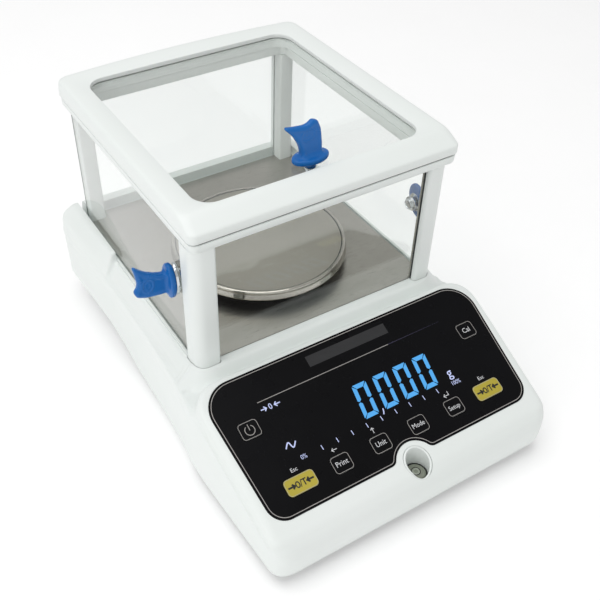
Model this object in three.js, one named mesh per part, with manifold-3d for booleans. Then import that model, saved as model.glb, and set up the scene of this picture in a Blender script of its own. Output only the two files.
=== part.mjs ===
// Precision laboratory balance with a glass draught shield, modelled as it comes apart on a bench.
// Millimetres, +Z up, +Y towards the back, origin on the bench under the middle of the housing.
import * as THREE from 'three';
import { mergeVertices } from 'three/addons/utils/BufferGeometryUtils.js';
import Module from 'manifold-3d';

const wasm = await Module();
wasm.setup();

// ---- Driving dimensions ----
const GAP = 0.3; // running or assembly clearance between neighbouring pieces
const UNDER = -10; // heights clear below and above everything, for cutters that pass right through
const OVER = 210;
const FRONT_Y = -162.5;
const BACK_Y = 162.5;
const DECK_Z = 75.7; // top of the stainless deck plate
const DECK = { halfW: 87, front: -37.6, back: 143.1, thick: 1 };
const GUARD_Z = 82; // raised guard round the back half of the deck
const GUARD_FRONT = 84; // where the side guards step down
const WALL = 2.6; // housing wall

const PANEL = { y: -60.7, z: 77.1, slope: 22.5, length: 91, topHalf: 102.9, bottomHalf: 97.2 };
const PANEL_TOP_R = 19;
const PANEL_BOTTOM_R = 12;
const OVERLAY = { proud: 0.3, thick: 1 };
const KEY_PROUD = 0.5;
const SMALL_KEY = { w: 13, h: 11, r: 2.2 };
const TARE_KEY = { w: 20.5, h: 10.6, r: 2.4 };
const LEVEL = { x: 1.5, y: -148.5, bore: 7.6, ring: 9.1, bottom: 23.5, floor: 26, proud: 0.5 };
const VIAL = { r: 6.6, topR: 6.4, bottom: 26.3, top: 30.9 };

const POST = { inner: 75.7, outer: 91.7, front: -43.4, depth: 16, leaf: 7.2, wall: 5.6, r: 8, bottom: 71, top: 166.6 };
const REAR_POST = { inner: 76, outer: 87, front: 134.5, back: 150.5, r: 2.5 };
const POST_EDGE = 1.5; // radius of a post's inner front edge
const GLASS = 2; // side, front and rear panes
const DOOR = { x: 87.4, front: -26.9, back: 141, bottom: 73, top: 170 };
const CAP_X = 1.5; // the top frame and the rail overhang the posts a little more on the right
const RAIL = { halfW: 94, front: -45.6, back: 151.6, r: 5, bottom: 166.8, top: 173.3 };
const RAIL_INSIDE = { halfW: 79, front: -29.5, back: 137, r: 4 };
const RING = { halfW: 94.5, front: -46, back: 152, bottom: 173.6 };
const OPENING = { halfW: 78, front: -30, back: 135.5, r: 12 };
const UNDERCUT = { halfW: 79, front: -31.5, back: 137, r: 4 }; // the opening widens below the lid
const DOOR_SLOT = { inner: 87.1, outer: 91.6 }; // slots in the housing that the doors run in
const LID = { halfW: 85.5, front: -36.5, back: 145.6, bottom: 181, thick: 2.6 };

const PAN = { y: 39, top: 90.4, r: 60.2, skirt: 61.4, bottom: 84.2, sheet: 1, rim: 0.6 };
const PAN_HOLE = { housing: 14, deck: 12 }; // radii round the pan's post
const KNOB = { length: 24.6, width: 14.4, flange: 3.8, blade: 5.2, washerR: 6.2, capR: 4.4, bore: 2.1 };
const KNOB_SCREW = { headR: 3.8, headTop: 2.6, headBottom: 4.6, r: 1.8, reach: 6 };
const PANE_BORE = 2.3;
// Where each knob sits on its pane, and how far its washer lifts the flange off the glass.
const LID_KNOB = { x: 1.2, y: -19, lift: 1.2 };
const LEFT_KNOB = { y: -17, z: 131, lift: 3.2 };
const RIGHT_KNOB = { y: -18, z: 123, lift: 1.2, turn: 25 }; // turned about its screw, in degrees
const FOOT = { x: 84, frontY: -112, backY: 128, padR: 8, padTop: 2.6, wheelR: 9.4, wheelZ: 2.9, stemR: 3, stemTop: 19 };
const TRAY = { bottom: 7.5, floor: 2.5, wall: 2.2, top: 23, inset: 8, front: -152.5, back: 153 };

const COLOURS = {
  shell: [0xeef2f0, 0.45, 0],
  tray: [0xe2e6e4, 0.55, 0],
  steel: [0xb4b0a6, 0.35, 1],
  polished: [0xc8c6c2, 0.12, 1],
  black: [0x0b0b0d, 0.25, 0],
  amber: [0xb9a435, 0.45, 0],
  glass: [0xdfeee8, 0.05, 0],
  blue: [0x1b5fb8, 0.35, 0],
  chrome: [0xd4d6d8, 0.1, 1],
  rubber: [0x1c1c1e, 0.85, 0],
  board: [0x1d5a34, 0.6, 0],
  aluminium: [0xb9bcc0, 0.4, 1],
  display: [0x1c2430, 0.2, 0],
  vial: [0xa9b8a2, 0.1, 0],
};

const balance = new THREE.Group();

// ---- Solids ----
function solid(geometry) {
  const bare = geometry.clone();
  bare.deleteAttribute('normal');
  bare.deleteAttribute('uv');
  const merged = mergeVertices(bare, 1e-4);
  const made = new wasm.Manifold(
    new wasm.Mesh({
      numProp: 3,
      vertProperties: merged.attributes.position.array,
      triVerts: new Uint32Array(merged.index.array),
    }),
  );
  return made;
}

function geometryOf(manifold) {
  const mesh = manifold.getMesh();
  const geometry = new THREE.BufferGeometry();
  const positions = new Float32Array(mesh.vertProperties);
  geometry.setAttribute('position', new THREE.BufferAttribute(positions, 3));
  geometry.setIndex(new THREE.BufferAttribute(new Uint32Array(mesh.triVerts), 1));
  return geometry;
}

function add(name, shape, colour, parent = balance) {
  const geometry = shape.isBufferGeometry ? shape : geometryOf(shape);
  const [color, roughness, metalness] = COLOURS[colour];
  const mesh = new THREE.Mesh(geometry, new THREE.MeshStandardMaterial({ color, roughness, metalness }));
  mesh.name = name;
  parent.add(mesh);
  return mesh;
}

function box(x0, x1, y0, y1, z0, z1) {
  const geometry = new THREE.BoxGeometry(x1 - x0, y1 - y0, z1 - z0);
  geometry.translate((x0 + x1) / 2, (y0 + y1) / 2, (z0 + z1) / 2);
  return solid(geometry);
}

// An upright cylinder or cone.
function drum(x, y, z0, z1, r, topR = r, segments = 24) {
  const geometry = new THREE.CylinderGeometry(topR, r, z1 - z0, segments);
  geometry.rotateX(Math.PI / 2);
  geometry.translate(x, y, (z0 + z1) / 2);
  return solid(geometry);
}

function prism(shape, z0, z1, curveSegments = 4) {
  const geometry = new THREE.ExtrudeGeometry(shape, { depth: z1 - z0, bevelEnabled: false, curveSegments });
  geometry.translate(0, 0, z0);
  return solid(geometry);
}

// A body turned about the Z axis from [radius, height] points that start and end on the axis.
function turned(profile, x, y, segments = 48) {
  const points = profile.map(([r, z]) => new THREE.Vector2(r, z));
  const geometry = new THREE.LatheGeometry(points, segments);
  geometry.rotateX(Math.PI / 2);
  geometry.translate(x, y, 0);
  return solid(geometry);
}

function roundedRect(x0, x1, y0, y1, r) {
  return roundedQuad(x0, x1, x0, x1, y0, y1, r, r);
}

// A symmetric or tapered quadrilateral with its own corner radii at the bottom and the top.
function roundedQuad(bottomX0, bottomX1, topX0, topX1, y0, y1, bottomR, topR) {
  const shape = new THREE.Shape();
  shape.moveTo(bottomX0 + bottomR, y0);
  shape.lineTo(bottomX1 - bottomR, y0);
  shape.quadraticCurveTo(bottomX1, y0, bottomX1, y0 + bottomR);
  shape.lineTo(topX1, y1 - topR);
  shape.quadraticCurveTo(topX1, y1, topX1 - topR, y1);
  shape.lineTo(topX0 + topR, y1);
  shape.quadraticCurveTo(topX0, y1, topX0, y1 - topR);
  shape.lineTo(bottomX0, y0 + bottomR);
  shape.quadraticCurveTo(bottomX0, y0, bottomX0 + bottomR, y0);
  return shape;
}

// Joins loops of equally many points into a closed skin with flat end caps.
function loft(loops) {
  const count = loops[0].length;
  const index = [];
  for (let row = 0; row + 1 < loops.length; row += 1) {
    for (let i = 0; i < count; i += 1) {
      const a = row * count + i;
      const b = row * count + ((i + 1) % count);
      index.push(a, b, b + count, a, b + count, a + count);
    }
  }
  index.push(...capOf(loops, 0).reverse());
  index.push(...capOf(loops, loops.length - 1));
  const geometry = new THREE.BufferGeometry();
  const positions = loops.flat().flatMap((p) => [p.x, p.y, p.z]);
  geometry.setAttribute('position', new THREE.Float32BufferAttribute(positions, 3));
  geometry.setIndex(index);
  const made = solid(geometry);
  if (made.volume() > 0) return made;
  geometry.setIndex(index.reverse());
  return solid(geometry);
}

// Triangles that close one loop, turning the same way as the loop itself.
function capOf(loops, row) {
  const loop = loops[row];
  const standing = loop.every((p) => Math.abs(p.y - loop[0].y) < 1e-6);
  const outline = loop.map((p) => new THREE.Vector2(p.x, standing ? p.z : p.y));
  const turn = Math.sign(THREE.ShapeUtils.area(outline));
  const start = row * loop.length;
  return THREE.ShapeUtils.triangulateShape(outline, []).flatMap((triangle) => {
    const same = Math.sign(THREE.ShapeUtils.area(triangle.map((k) => outline[k]))) === turn;
    return (same ? triangle : [...triangle].reverse()).map((k) => start + k);
  });
}

// ---- Housing ----
const SLOPE = THREE.MathUtils.degToRad(PANEL.slope);

const RIDGE = [96.6, 69]; // the low side rail beside the doors

// Stations along Y: bottom edge, half-width of the side, shoulder and top, from nose to tail.
const STATIONS = [
  { y: FRONT_Y, bottom: 18, side: 84, shoulder: 25, edge: 80, top: 26 },
  { y: -161.6, bottom: 13.5, side: 90, shoulder: 27, edge: 84, top: 29.4 },
  { y: -159.6, bottom: 9.8, side: 95, shoulder: 29, edge: 90, top: 32.4 },
  { y: -157, bottom: 7.8, side: 98.4, shoulder: 31, edge: 94, top: 35.6 },
  { y: -153.6, bottom: 6.8, side: 101.4, shoulder: 33, edge: 97.5, top: 38.4 },
  { y: -149, bottom: 6.2, side: 103.6, shoulder: 35, edge: 99.6, top: 40.6 },
  { y: -144.7, bottom: 6, side: 104.6, shoulder: 36.5, edge: 101, top: panelHeight(-144.7) },
  { y: -120, bottom: 5.5, side: 106.4, shoulder: 46, edge: 102.5, top: panelHeight(-120) },
  { y: -90, bottom: 5.5, side: 107.7, shoulder: 58.5, edge: 103.6, top: panelHeight(-90) },
  { y: -66, bottom: 5, side: 108.5, shoulder: 68, edge: 104, top: panelHeight(-66) },
  { y: -60.7, bottom: 4.6, side: 108.3, shoulder: 69.5, edge: 103, top: PANEL.z },
  { y: -57.5, bottom: 4.4, side: 107.8, shoulder: 69.3, edge: 101.5, top: 77.2 },
  { y: -55.6, bottom: 4.2, side: 107.3, shoulder: 68, edge: 101, top: 75.2 },
  { y: -53.4, bottom: 4, side: 106.8, shoulder: 65.4, edge: 100.5, top: 70.6 },
  { y: -51.4, bottom: 4, side: 106.4, shoulder: 64.2, edge: 97, top: 70 },
  { y: -48, bottom: 4, side: 105.8, shoulder: 63.6, edge: 92.6, top: 73.4, ridge: RIDGE },
  { y: -44.6, bottom: 4, side: 105.2, shoulder: 63.2, edge: 92.2, top: 75.2, ridge: RIDGE },
  { y: -36, bottom: 4, side: 104.4, shoulder: 62.6, edge: 92.4, top: DECK_Z, ridge: RIDGE },
  { y: 0, bottom: 4, side: 102.6, shoulder: 61.5, edge: 92.4, top: DECK_Z, ridge: RIDGE },
  { y: 40, bottom: 6, side: 101.8, shoulder: 61.5, edge: 92.4, top: DECK_Z, ridge: RIDGE },
  { y: 70, bottom: 14, side: 102, shoulder: 62, edge: 92.4, top: DECK_Z, ridge: RIDGE },
  { y: GUARD_FRONT - 2, bottom: 16.5, side: 102.2, shoulder: 62.5, edge: 92.6, top: DECK_Z, ridge: RIDGE },
  { y: GUARD_FRONT + 1, bottom: 17, side: 102.4, shoulder: 63, edge: 93.6, top: GUARD_Z, ridge: [98.6, 71] },
  { y: 120, bottom: 20.5, side: 104.4, shoulder: 65, edge: 94, top: GUARD_Z, ridge: [100.6, 73] },
  { y: 145, bottom: 20.5, side: 106.2, shoulder: 67, edge: 95, top: GUARD_Z, ridge: [103.4, 75] },
  { y: 154, bottom: 22, side: 106.4, shoulder: 67, edge: 94, top: 81.6, ridge: [103, 76] },
  { y: 159, bottom: 25, side: 104.2, shoulder: 64, edge: 91, top: 80, ridge: [100, 74] },
  { y: BACK_Y, bottom: 33, side: 99, shoulder: 60, edge: 86, top: 75, ridge: [95, 70] },
];

function panelHeight(y) {
  return PANEL.z + (y - PANEL.y) * Math.tan(SLOPE);
}

// Half of a section, from the bottom edge up the side and over the shoulder to the top edge.
function halfSection(s, inset, floor) {
  const [ridgeX, ridgeZ] = s.ridge ?? [(s.side * 2 + s.edge) / 3, (s.shoulder + s.top * 1.2) / 2.2];
  return [
    [s.side - 1.5 - inset, floor],
    [s.side - inset, s.shoulder - (s.shoulder - s.bottom) * 0.35],
    [s.side - 1 - inset, s.shoulder - inset * 0.5],
    [ridgeX - inset, ridgeZ - inset],
    [s.edge + (ridgeX - s.edge) * 0.35 - inset * 0.8, s.top - 1.2 - inset],
    [s.edge - inset, s.top - inset],
  ];
}

function sectionLoop(s, inset, floor) {
  const half = halfSection(s, inset, floor);
  const right = half.map(([x, z]) => new THREE.Vector3(x, s.y, z));
  const left = half.map(([x, z]) => new THREE.Vector3(-x, s.y, z)).reverse();
  return [...right, ...left];
}

const panelFrame = new THREE.Group();
panelFrame.position.set(0, PANEL.y, PANEL.z);
panelFrame.rotation.x = SLOPE;
panelFrame.updateMatrixWorld(true);
balance.add(panelFrame);

// Moves a solid from the panel's own frame (x across, y up the slope, z out of it) to the part's frame.
function ontoPanel(manifold) {
  const geometry = geometryOf(manifold);
  geometry.applyMatrix4(panelFrame.matrixWorld);
  return solid(geometry);
}

const KEYS = [
  { name: 'key_power', x: -83.8, v: 33.5, size: SMALL_KEY, colour: 'black' },
  { name: 'key_calibrate', x: 83.8, v: 33.5, size: SMALL_KEY, colour: 'black' },
  { name: 'key_print', x: -42.8, v: 75.4, size: SMALL_KEY, colour: 'black' },
  { name: 'key_unit', x: -13.9, v: 75.4, size: SMALL_KEY, colour: 'black' },
  { name: 'key_mode', x: 15, v: 75.4, size: SMALL_KEY, colour: 'black' },
  { name: 'key_setup', x: 43.9, v: 75.4, size: SMALL_KEY, colour: 'black' },
  { name: 'key_tare_left', x: -71.6, v: 75.1, size: TARE_KEY, colour: 'amber' },
  { name: 'key_tare_right', x: 72.4, v: 75.1, size: TARE_KEY, colour: 'amber' },
];
const DISPLAY = { x0: -62, x1: 64, v0: 28, v1: 65 };
const PLUNGER = { w: 7, h: 6, down: 4 };

function keyShape(key, grow) {
  const { w, h, r } = key.size;
  const halfW = w / 2 + grow;
  const halfH = h / 2 + grow;
  return roundedRect(key.x - halfW, key.x + halfW, -key.v - halfH, -key.v + halfH, r + grow);
}

function plungerBox(key, grow, z0, z1) {
  const halfW = PLUNGER.w / 2 + grow;
  const halfH = PLUNGER.h / 2 + grow;
  return box(key.x - halfW, key.x + halfW, -key.v - halfH, -key.v + halfH, z0, z1);
}

function overlayShape(grow) {
  const { topHalf, bottomHalf, length } = PANEL;
  const bottom = bottomHalf + grow;
  const top = topHalf + grow;
  const low = -length - grow;
  return roundedQuad(-bottom, bottom, -top, top, low, grow, PANEL_BOTTOM_R, PANEL_TOP_R);
}

// Rounded bite out of the overlay's lower edge that leaves room for the level.
const BITE = { v: 96.3, r: 14.6 };

function overlaySolid(grow, z0, z1) {
  return prism(overlayShape(grow), z0, z1).subtract(drum(LEVEL.x, -BITE.v, z0 - 1, z1 + 1, BITE.r - grow));
}

// ---- Posts ----
function postShape(side, row, grow) {
  const shape = new THREE.Shape();
  const out = (row === 'front' ? POST.outer : REAR_POST.outer) + grow;
  const inn = (row === 'front' ? POST.inner : REAR_POST.inner) - grow;
  const y0 = (row === 'front' ? POST.front : REAR_POST.front) - grow;
  const y1 = (row === 'front' ? POST.front + POST.depth : REAR_POST.back) + grow;
  const r = row === 'front' ? POST.r : REAR_POST.r;
  const small = POST_EDGE;
  shape.moveTo(side * (inn + small), y0);
  shape.lineTo(side * (out - r), y0);
  shape.quadraticCurveTo(side * out, y0, side * out, y0 + r);
  shape.lineTo(side * out, y1);
  if (row === 'front') {
    shape.lineTo(side * (POST.outer - POST.wall - grow), y1);
    shape.lineTo(side * (POST.outer - POST.wall - grow), POST.front + POST.leaf + grow);
    shape.lineTo(side * inn, POST.front + POST.leaf + grow);
  } else {
    shape.lineTo(side * inn, y1);
  }
  shape.lineTo(side * inn, y0 + small);
  shape.quadraticCurveTo(side * inn, y0, side * (inn + small), y0);
  return shape;
}

const POSTS = [
  { name: 'post_front_left', side: -1, row: 'front' },
  { name: 'post_front_right', side: 1, row: 'front' },
  { name: 'post_rear_left', side: -1, row: 'rear' },
  { name: 'post_rear_right', side: 1, row: 'rear' },
];

const FRONT_GLASS = { x: 77.5, y: -39.6, bottom: 72.4, top: DOOR.top };
const REAR_GLASS = { x: 77.8, y: 144, bottom: 72.4, top: DOOR.top };

function fixedGlass(pane, grow) {
  const { x, y, bottom, top } = pane;
  return box(-x - grow, x + grow, y - grow, y + GLASS + grow, bottom - grow, top + grow);
}

function doorGlass(side, grow, extra = 0) {
  const x0 = side < 0 ? -DOOR.x - GLASS : DOOR.x;
  const { front, back, bottom, top } = DOOR;
  return box(x0 - grow, x0 + GLASS + grow, front - grow, back + grow + extra, bottom - grow, top + grow);
}

// ---- Draught shield frame ----
function ringLoop(inset, frontInset, z, r) {
  const { halfW, front, back } = RING;
  const x = halfW - inset;
  const shape = roundedRect(CAP_X - x, CAP_X + x, front + frontInset, back - inset, r);
  return shape.getPoints(5).slice(0, -1).map((p) => new THREE.Vector3(p.x, p.y, z));
}

// The side and rear limbs have upright outer faces; the front limb slopes down to a low crest.
const RING_LEVELS = [
  [3, 3, 0, 2],
  [0, 0, 0.8, 5],
  [0, 0, 5.9, 5],
  [0.4, 5, 8.9, 5],
  [0.9, 9.6, 11.1, 5],
  [2.2, 12.6, 12.3, 5],
  [4, 15, 12.6, 5],
];

function buildTopFrame() {
  let ring = loft(RING_LEVELS.map(([inset, frontInset, rise, r]) => ringLoop(inset, frontInset, RING.bottom + rise, r)));
  const { halfW, front, back } = OPENING;
  ring = ring.subtract(prism(roundedRect(-halfW, halfW, front, back, OPENING.r), UNDER, OVER));
  const under = roundedRect(-UNDERCUT.halfW, UNDERCUT.halfW, UNDERCUT.front, UNDERCUT.back, UNDERCUT.r);
  ring = ring.subtract(prism(under, UNDER, LID.bottom));
  ring = ring.subtract(lidSolid(GAP, 20));
  return ring;
}

function lidSolid(grow, extra = 0) {
  const { halfW, front, back, bottom, thick } = LID;
  return box(-halfW - grow, halfW + grow, front - grow, back + grow + extra, bottom - grow, bottom + thick + grow);
}

function buildRail() {
  const { halfW, front, back, r, bottom, top } = RAIL;
  const inside = roundedRect(-RAIL_INSIDE.halfW, RAIL_INSIDE.halfW, RAIL_INSIDE.front, RAIL_INSIDE.back, RAIL_INSIDE.r);
  let rail = prism(roundedRect(CAP_X - halfW, CAP_X + halfW, front, back, r), bottom, top);
  rail = rail.subtract(prism(inside, UNDER, OVER));
  rail = rail.subtract(fixedGlass(FRONT_GLASS, GAP));
  rail = rail.subtract(fixedGlass(REAR_GLASS, GAP));
  rail = rail.subtract(doorGlass(-1, GAP, 40));
  return rail.subtract(doorGlass(1, GAP, 40));
}

// ---- Housing, cut by everything that is let into it ----
const housingSkin = loft(STATIONS.map((s) => sectionLoop(s, 0, s.bottom)));
const SEAT_Z = DECK_Z - DECK.thick - GAP;
const SOCKETS = [
  { name: 'power_socket', x: 62, z: 44, w: 12, h: 12 },
  { name: 'serial_port', x: 0, z: 44, w: 31, h: 12.5 },
];

function socketBlock({ x, z, w, h }, grow, y0 = 147, y1 = BACK_Y + 0.4) {
  return box(x - w / 2 - grow, x + w / 2 + grow, y0, y1, z - h / 2 - grow, z + h / 2 + grow);
}

function buildHousing() {
  const hollow = STATIONS.filter((s) => s.y > -158 && s.y < 157);
  let shell = housingSkin.subtract(loft(hollow.map((s) => sectionLoop(s, WALL, -5))));
  shell = shell.add(box(-93.5, 93.5, -46, 152, SEAT_Z - 4, SEAT_Z)); // the floor under the deck
  // Pocket for the deck, open at the back where the two doors slide out.
  const { inner, outer } = DOOR_SLOT;
  const behind = BACK_Y + 8;
  shell = shell.subtract(box(-outer, outer, DECK.front - GAP, 146, SEAT_Z, OVER));
  [-1, 1].forEach((side) => {
    const [x0, x1] = [side * inner, side * outer].sort((p, q) => p - q);
    shell = shell.subtract(box(x0, x1, DOOR.front - GAP, behind, TRACK.bottom - GAP, OVER));
  });
  POSTS.forEach((post) => {
    shell = shell.subtract(prism(postShape(post.side, post.row, GAP), POST.bottom - GAP, OVER));
  });
  shell = shell.subtract(fixedGlass(FRONT_GLASS, GAP)).subtract(fixedGlass(REAR_GLASS, GAP));
  shell = shell.subtract(drum(0, PAN.y, SEAT_Z - 10, OVER, PAN_HOLE.housing));
  // Recess and openings of the control panel.
  shell = shell.subtract(ontoPanel(overlaySolid(GAP, OVERLAY.proud - OVERLAY.thick - GAP, 3)));
  const { x0, x1, v0, v1 } = DISPLAY;
  shell = shell.subtract(ontoPanel(box(x0, x1, -v1, -v0, -12, 0)));
  KEYS.forEach((key) => {
    shell = shell.subtract(ontoPanel(plungerBox(key, 0.6, -12, 0)));
  });
  shell = shell.subtract(drum(LEVEL.x, LEVEL.y, UNDER, OVER, LEVEL.ring + GAP));
  SOCKETS.forEach((socket) => {
    shell = shell.subtract(socketBlock(socket, GAP, 140, behind));
  });
  return shell;
}

function buildLevelBezel() {
  const raised = geometryOf(housingSkin);
  raised.translate(0, 0, LEVEL.proud);
  const cup = drum(LEVEL.x, LEVEL.y, LEVEL.bottom, OVER, LEVEL.ring);
  return cup.subtract(drum(LEVEL.x, LEVEL.y, LEVEL.floor, OVER + 1, LEVEL.bore)).intersect(solid(raised));
}

// Plan outline of the tray, following the housing from inside.
function trayShape(inset) {
  const stations = STATIONS.filter((s) => s.y > TRAY.front && s.y < TRAY.back);
  const sideAt = (y) => {
    const after = STATIONS.findIndex((s) => s.y >= y);
    const [a, b] = [STATIONS[after - 1], STATIONS[after]];
    return THREE.MathUtils.mapLinear(y, a.y, b.y, a.side, b.side);
  };
  const rows = [TRAY.front + inset, ...stations.map((s) => s.y), TRAY.back - inset];
  const right = rows.map((y) => new THREE.Vector2(sideAt(y) - TRAY.inset - inset, y));
  const left = right.map((p) => new THREE.Vector2(-p.x, p.y)).reverse();
  return new THREE.Shape([...right, ...left]);
}

const FEET = [
  { name: 'front_left', x: -FOOT.x, y: FOOT.frontY },
  { name: 'front_right', x: FOOT.x, y: FOOT.frontY },
  { name: 'rear_left', x: -FOOT.x, y: FOOT.backY },
  { name: 'rear_right', x: FOOT.x, y: FOOT.backY },
];
const TRAY_SCREWS = [[-70, -128], [70, -128], [-70, 100], [70, 100]];
const LOAD_CELL = { halfW: 14, front: -32, back: 98, bottom: 22, top: 49 };
const CELL_MOUNT = { halfW: 18, front: -36, back: -6, bottom: 10.3, top: 21.7 };
const MAIN_BOARD = { halfW: 78, front: -104, back: -46, bottom: 16, top: 17.6 };

function buildTray() {
  const { bottom, floor, wall, top } = TRAY;
  let tray = prism(trayShape(0), bottom, top).subtract(prism(trayShape(wall), bottom + floor, top + 1));
  FEET.forEach(({ x, y }) => {
    tray = tray.add(drum(x, y, bottom + 1, top - 3, 7, 7, 20));
    tray = tray.subtract(drum(x, y, 0, top, FOOT.stemR + 0.4, FOOT.stemR + 0.4, 16));
  });
  TRAY_SCREWS.forEach(([x, y]) => {
    tray = tray.subtract(drum(x, y, 0, bottom + 1.4, 4.2, 4.2, 16)).subtract(drum(x, y, 0, 30, 2.4, 2.4, 12));
  });
  // The tray dips under the level cup.
  tray = tray.subtract(drum(LEVEL.x, LEVEL.y, 12, 30, LEVEL.ring + 1, LEVEL.ring + 1, 20));
  return tray;
}

function footScrew({ x, y }) {
  const { wheelZ, wheelR, stemR, stemTop } = FOOT;
  const knurls = 8;
  let wheel = drum(x, y, wheelZ, wheelZ + 3.4, wheelR, wheelR, 16);
  for (let i = 0; i < knurls; i += 1) {
    const angle = (i / knurls) * 2 * Math.PI;
    const reach = wheelR + 0.6;
    wheel = wheel.subtract(drum(x + reach * Math.cos(angle), y + reach * Math.sin(angle), 0, 10, 1.3, 1.3, 6));
  }
  return wheel.add(drum(x, y, wheelZ + 3, stemTop, stemR, stemR, 12)).add(drum(x, y, 1.2, wheelZ + 1, 2.4, 2.4, 10));
}

function footPad({ x, y }) {
  const pad = drum(x, y, 0, FOOT.padTop, FOOT.padR, FOOT.padR - 0.6, 20);
  return pad.subtract(drum(x, y, 0.9, 3, 2.7, 2.7, 12));
}

function trayScrew([x, y]) {
  const head = drum(x, y, TRAY.bottom + 0.2, TRAY.bottom + 1.2, 3.8, 3.8, 12);
  return head.add(drum(x, y, TRAY.bottom + 1, 16, 2, 2, 10));
}

// ---- Door tracks ----
const TRACK = { inner: 87.3, wall: 89.8, outer: 91.3, bottom: 71.6, floor: 72.6, top: 76 };

function doorTrack(side) {
  const { inner, wall, outer, bottom, floor, top } = TRACK;
  const span = (a, b) => [side * a, side * b].sort((p, q) => p - q);
  const front = DOOR.front;
  const back = BACK_Y - 9;
  const base = box(...span(inner, outer), front, back, bottom, floor);
  return base.add(box(...span(wall, outer), front, back, floor - 0.2, top));
}

// ---- Weighing system ----
function crossHole(y, z, r) {
  const geometry = new THREE.CylinderGeometry(r, r, 60, 24);
  geometry.rotateZ(Math.PI / 2);
  geometry.translate(0, y, z);
  return solid(geometry);
}

function buildLoadCell() {
  const { halfW, front, back, bottom, top } = LOAD_CELL;
  const middle = (bottom + top) / 2;
  let beam = box(-halfW, halfW, front, back, bottom, top);
  [-12, 12].forEach((offset) => {
    beam = beam.subtract(crossHole((front + back) / 2 + offset, middle, 9.5));
  });
  return beam.subtract(box(-30, 30, (front + back) / 2 - 12, (front + back) / 2 + 12, middle - 4, middle + 4));
}

function buildPanSupport() {
  const profile = [
    [0, 49.6], [12, 49.6], [12, 52.4], [6, 53.4], [6, 78.4], [42, 78.4],
    [42, 81], [13, 81.6], [11, 88.4], [0, 88.4],
  ];
  return turned(profile, 0, PAN.y, 24);
}

function buildPan() {
  const { top, r, skirt, bottom, sheet, rim } = PAN;
  const plate = top - rim;
  const under = plate - sheet;
  const profile = [
    [0, under], [r - 2.4, under], [skirt - 1.6, bottom + 0.4], [skirt - 1, bottom], [skirt - 0.3, bottom],
    [skirt, bottom + 0.7], [skirt, bottom + 2], [r + 0.3, top - 1.4], [r - 0.3, top - 0.3], [r - 1.1, top],
    [r - 1.8, top - 0.3], [r - 2.2, plate], [0, plate],
  ];
  return turned(profile, 0, PAN.y, 48);
}

// ---- Knobs ----
// Drawn with the pane's outer face at z = 0, the flange's long side along x and the grip leaning to -x.
function knobSolid(lift) {
  const { length, width, flange, blade } = KNOB;
  const oval = (a, b, z) => Array.from({ length: 24 }, (_, i) => {
    const angle = (i / 24) * 2 * Math.PI;
    return new THREE.Vector3(a * Math.cos(angle), b * Math.sin(angle), z);
  });
  const a = length / 2;
  const b = width / 2;
  const levels = [
    [a - 0.6, b - 0.6, lift],
    [a, b, lift + 0.7],
    [a, b, lift + flange * 0.5],
    [a - 1.2, b - 1, lift + flange * 0.85],
    [a * 0.6, b * 0.6, lift + flange * 1.25],
  ];
  const base = loft(levels.map(([p, q, z]) => oval(p, q, z)));
  const grip = new THREE.Shape();
  const root = lift + 1.4;
  grip.moveTo(-6.6, root);
  grip.quadraticCurveTo(-8.4, 17, -19.4, 27.4);
  grip.quadraticCurveTo(-12, 26, -6, 25.8);
  grip.quadraticCurveTo(-2, 26.2, -0.4, 27.6);
  grip.quadraticCurveTo(3.4, 28.2, 5.2, 22.6);
  grip.quadraticCurveTo(8, 12, 6.6, root);
  const geometry = new THREE.ExtrudeGeometry(grip, { depth: blade, bevelEnabled: false, curveSegments: 4 });
  geometry.rotateX(Math.PI / 2);
  geometry.translate(0, blade / 2, 0);
  return base.add(solid(geometry));
}

// Everything a pane's handle needs, as solids in the knob's own frame.
function knobParts(glass, lift) {
  const inside = -glass - GAP;
  const { washerR, capR, bore } = KNOB;
  const { headR, headTop, headBottom, r, reach } = KNOB_SCREW;
  const hole = drum(0, 0, inside - 4, reach + 0.4, bore, bore, 12);
  const head = drum(0, 0, inside - headBottom, inside - headTop, headR, headR, 16);
  return {
    knob: knobSolid(lift).subtract(hole),
    washer: drum(0, 0, GAP, lift - 0.2, washerR, washerR, 24).subtract(hole),
    cap: drum(0, 0, inside - 2.4, inside, capR, capR + 0.6, 24).subtract(hole),
    screw: head.add(drum(0, 0, inside - headTop - 0.1, reach, r, r, 10)),
  };
}

// Frames that turn the knob's frame onto each pane: columns are where its x, y and z point.
function knobFrame(xAxis, yAxis, zAxis, origin) {
  const toVector = (v) => new THREE.Vector3(...v);
  const matrix = new THREE.Matrix4().makeBasis(toVector(xAxis), toVector(yAxis), toVector(zAxis));
  return matrix.setPosition(...origin);
}

const turn = THREE.MathUtils.degToRad(RIGHT_KNOB.turn);
const [c, s] = [Math.cos(turn), Math.sin(turn)];
const KNOB_FRAMES = {
  left: knobFrame([0, 0, -1], [0, -1, 0], [-1, 0, 0], [-DOOR.x - GLASS, LEFT_KNOB.y, LEFT_KNOB.z]),
  right: knobFrame([0, -s, -c], [0, c, -s], [1, 0, 0], [DOOR.x + GLASS, RIGHT_KNOB.y, RIGHT_KNOB.z]),
  lid: knobFrame([1, 0, 0], [0, 1, 0], [0, 0, 1], [LID_KNOB.x, LID_KNOB.y, LID.bottom + LID.thick]),
};

function placed(manifold, matrix) {
  const geometry = geometryOf(manifold);
  geometry.applyMatrix4(matrix);
  return solid(geometry);
}

function addKnob(name, glass, lift) {
  const frame = KNOB_FRAMES[name];
  const parts = knobParts(glass, lift);
  add(`${name}_knob`, placed(parts.knob, frame), 'blue');
  add(`${name}_knob_washer`, placed(parts.washer, frame), 'chrome');
  add(`${name}_knob_cap`, placed(parts.cap, frame), 'blue');
  add(`${name}_knob_screw`, placed(parts.screw, frame), 'chrome');
}

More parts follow.
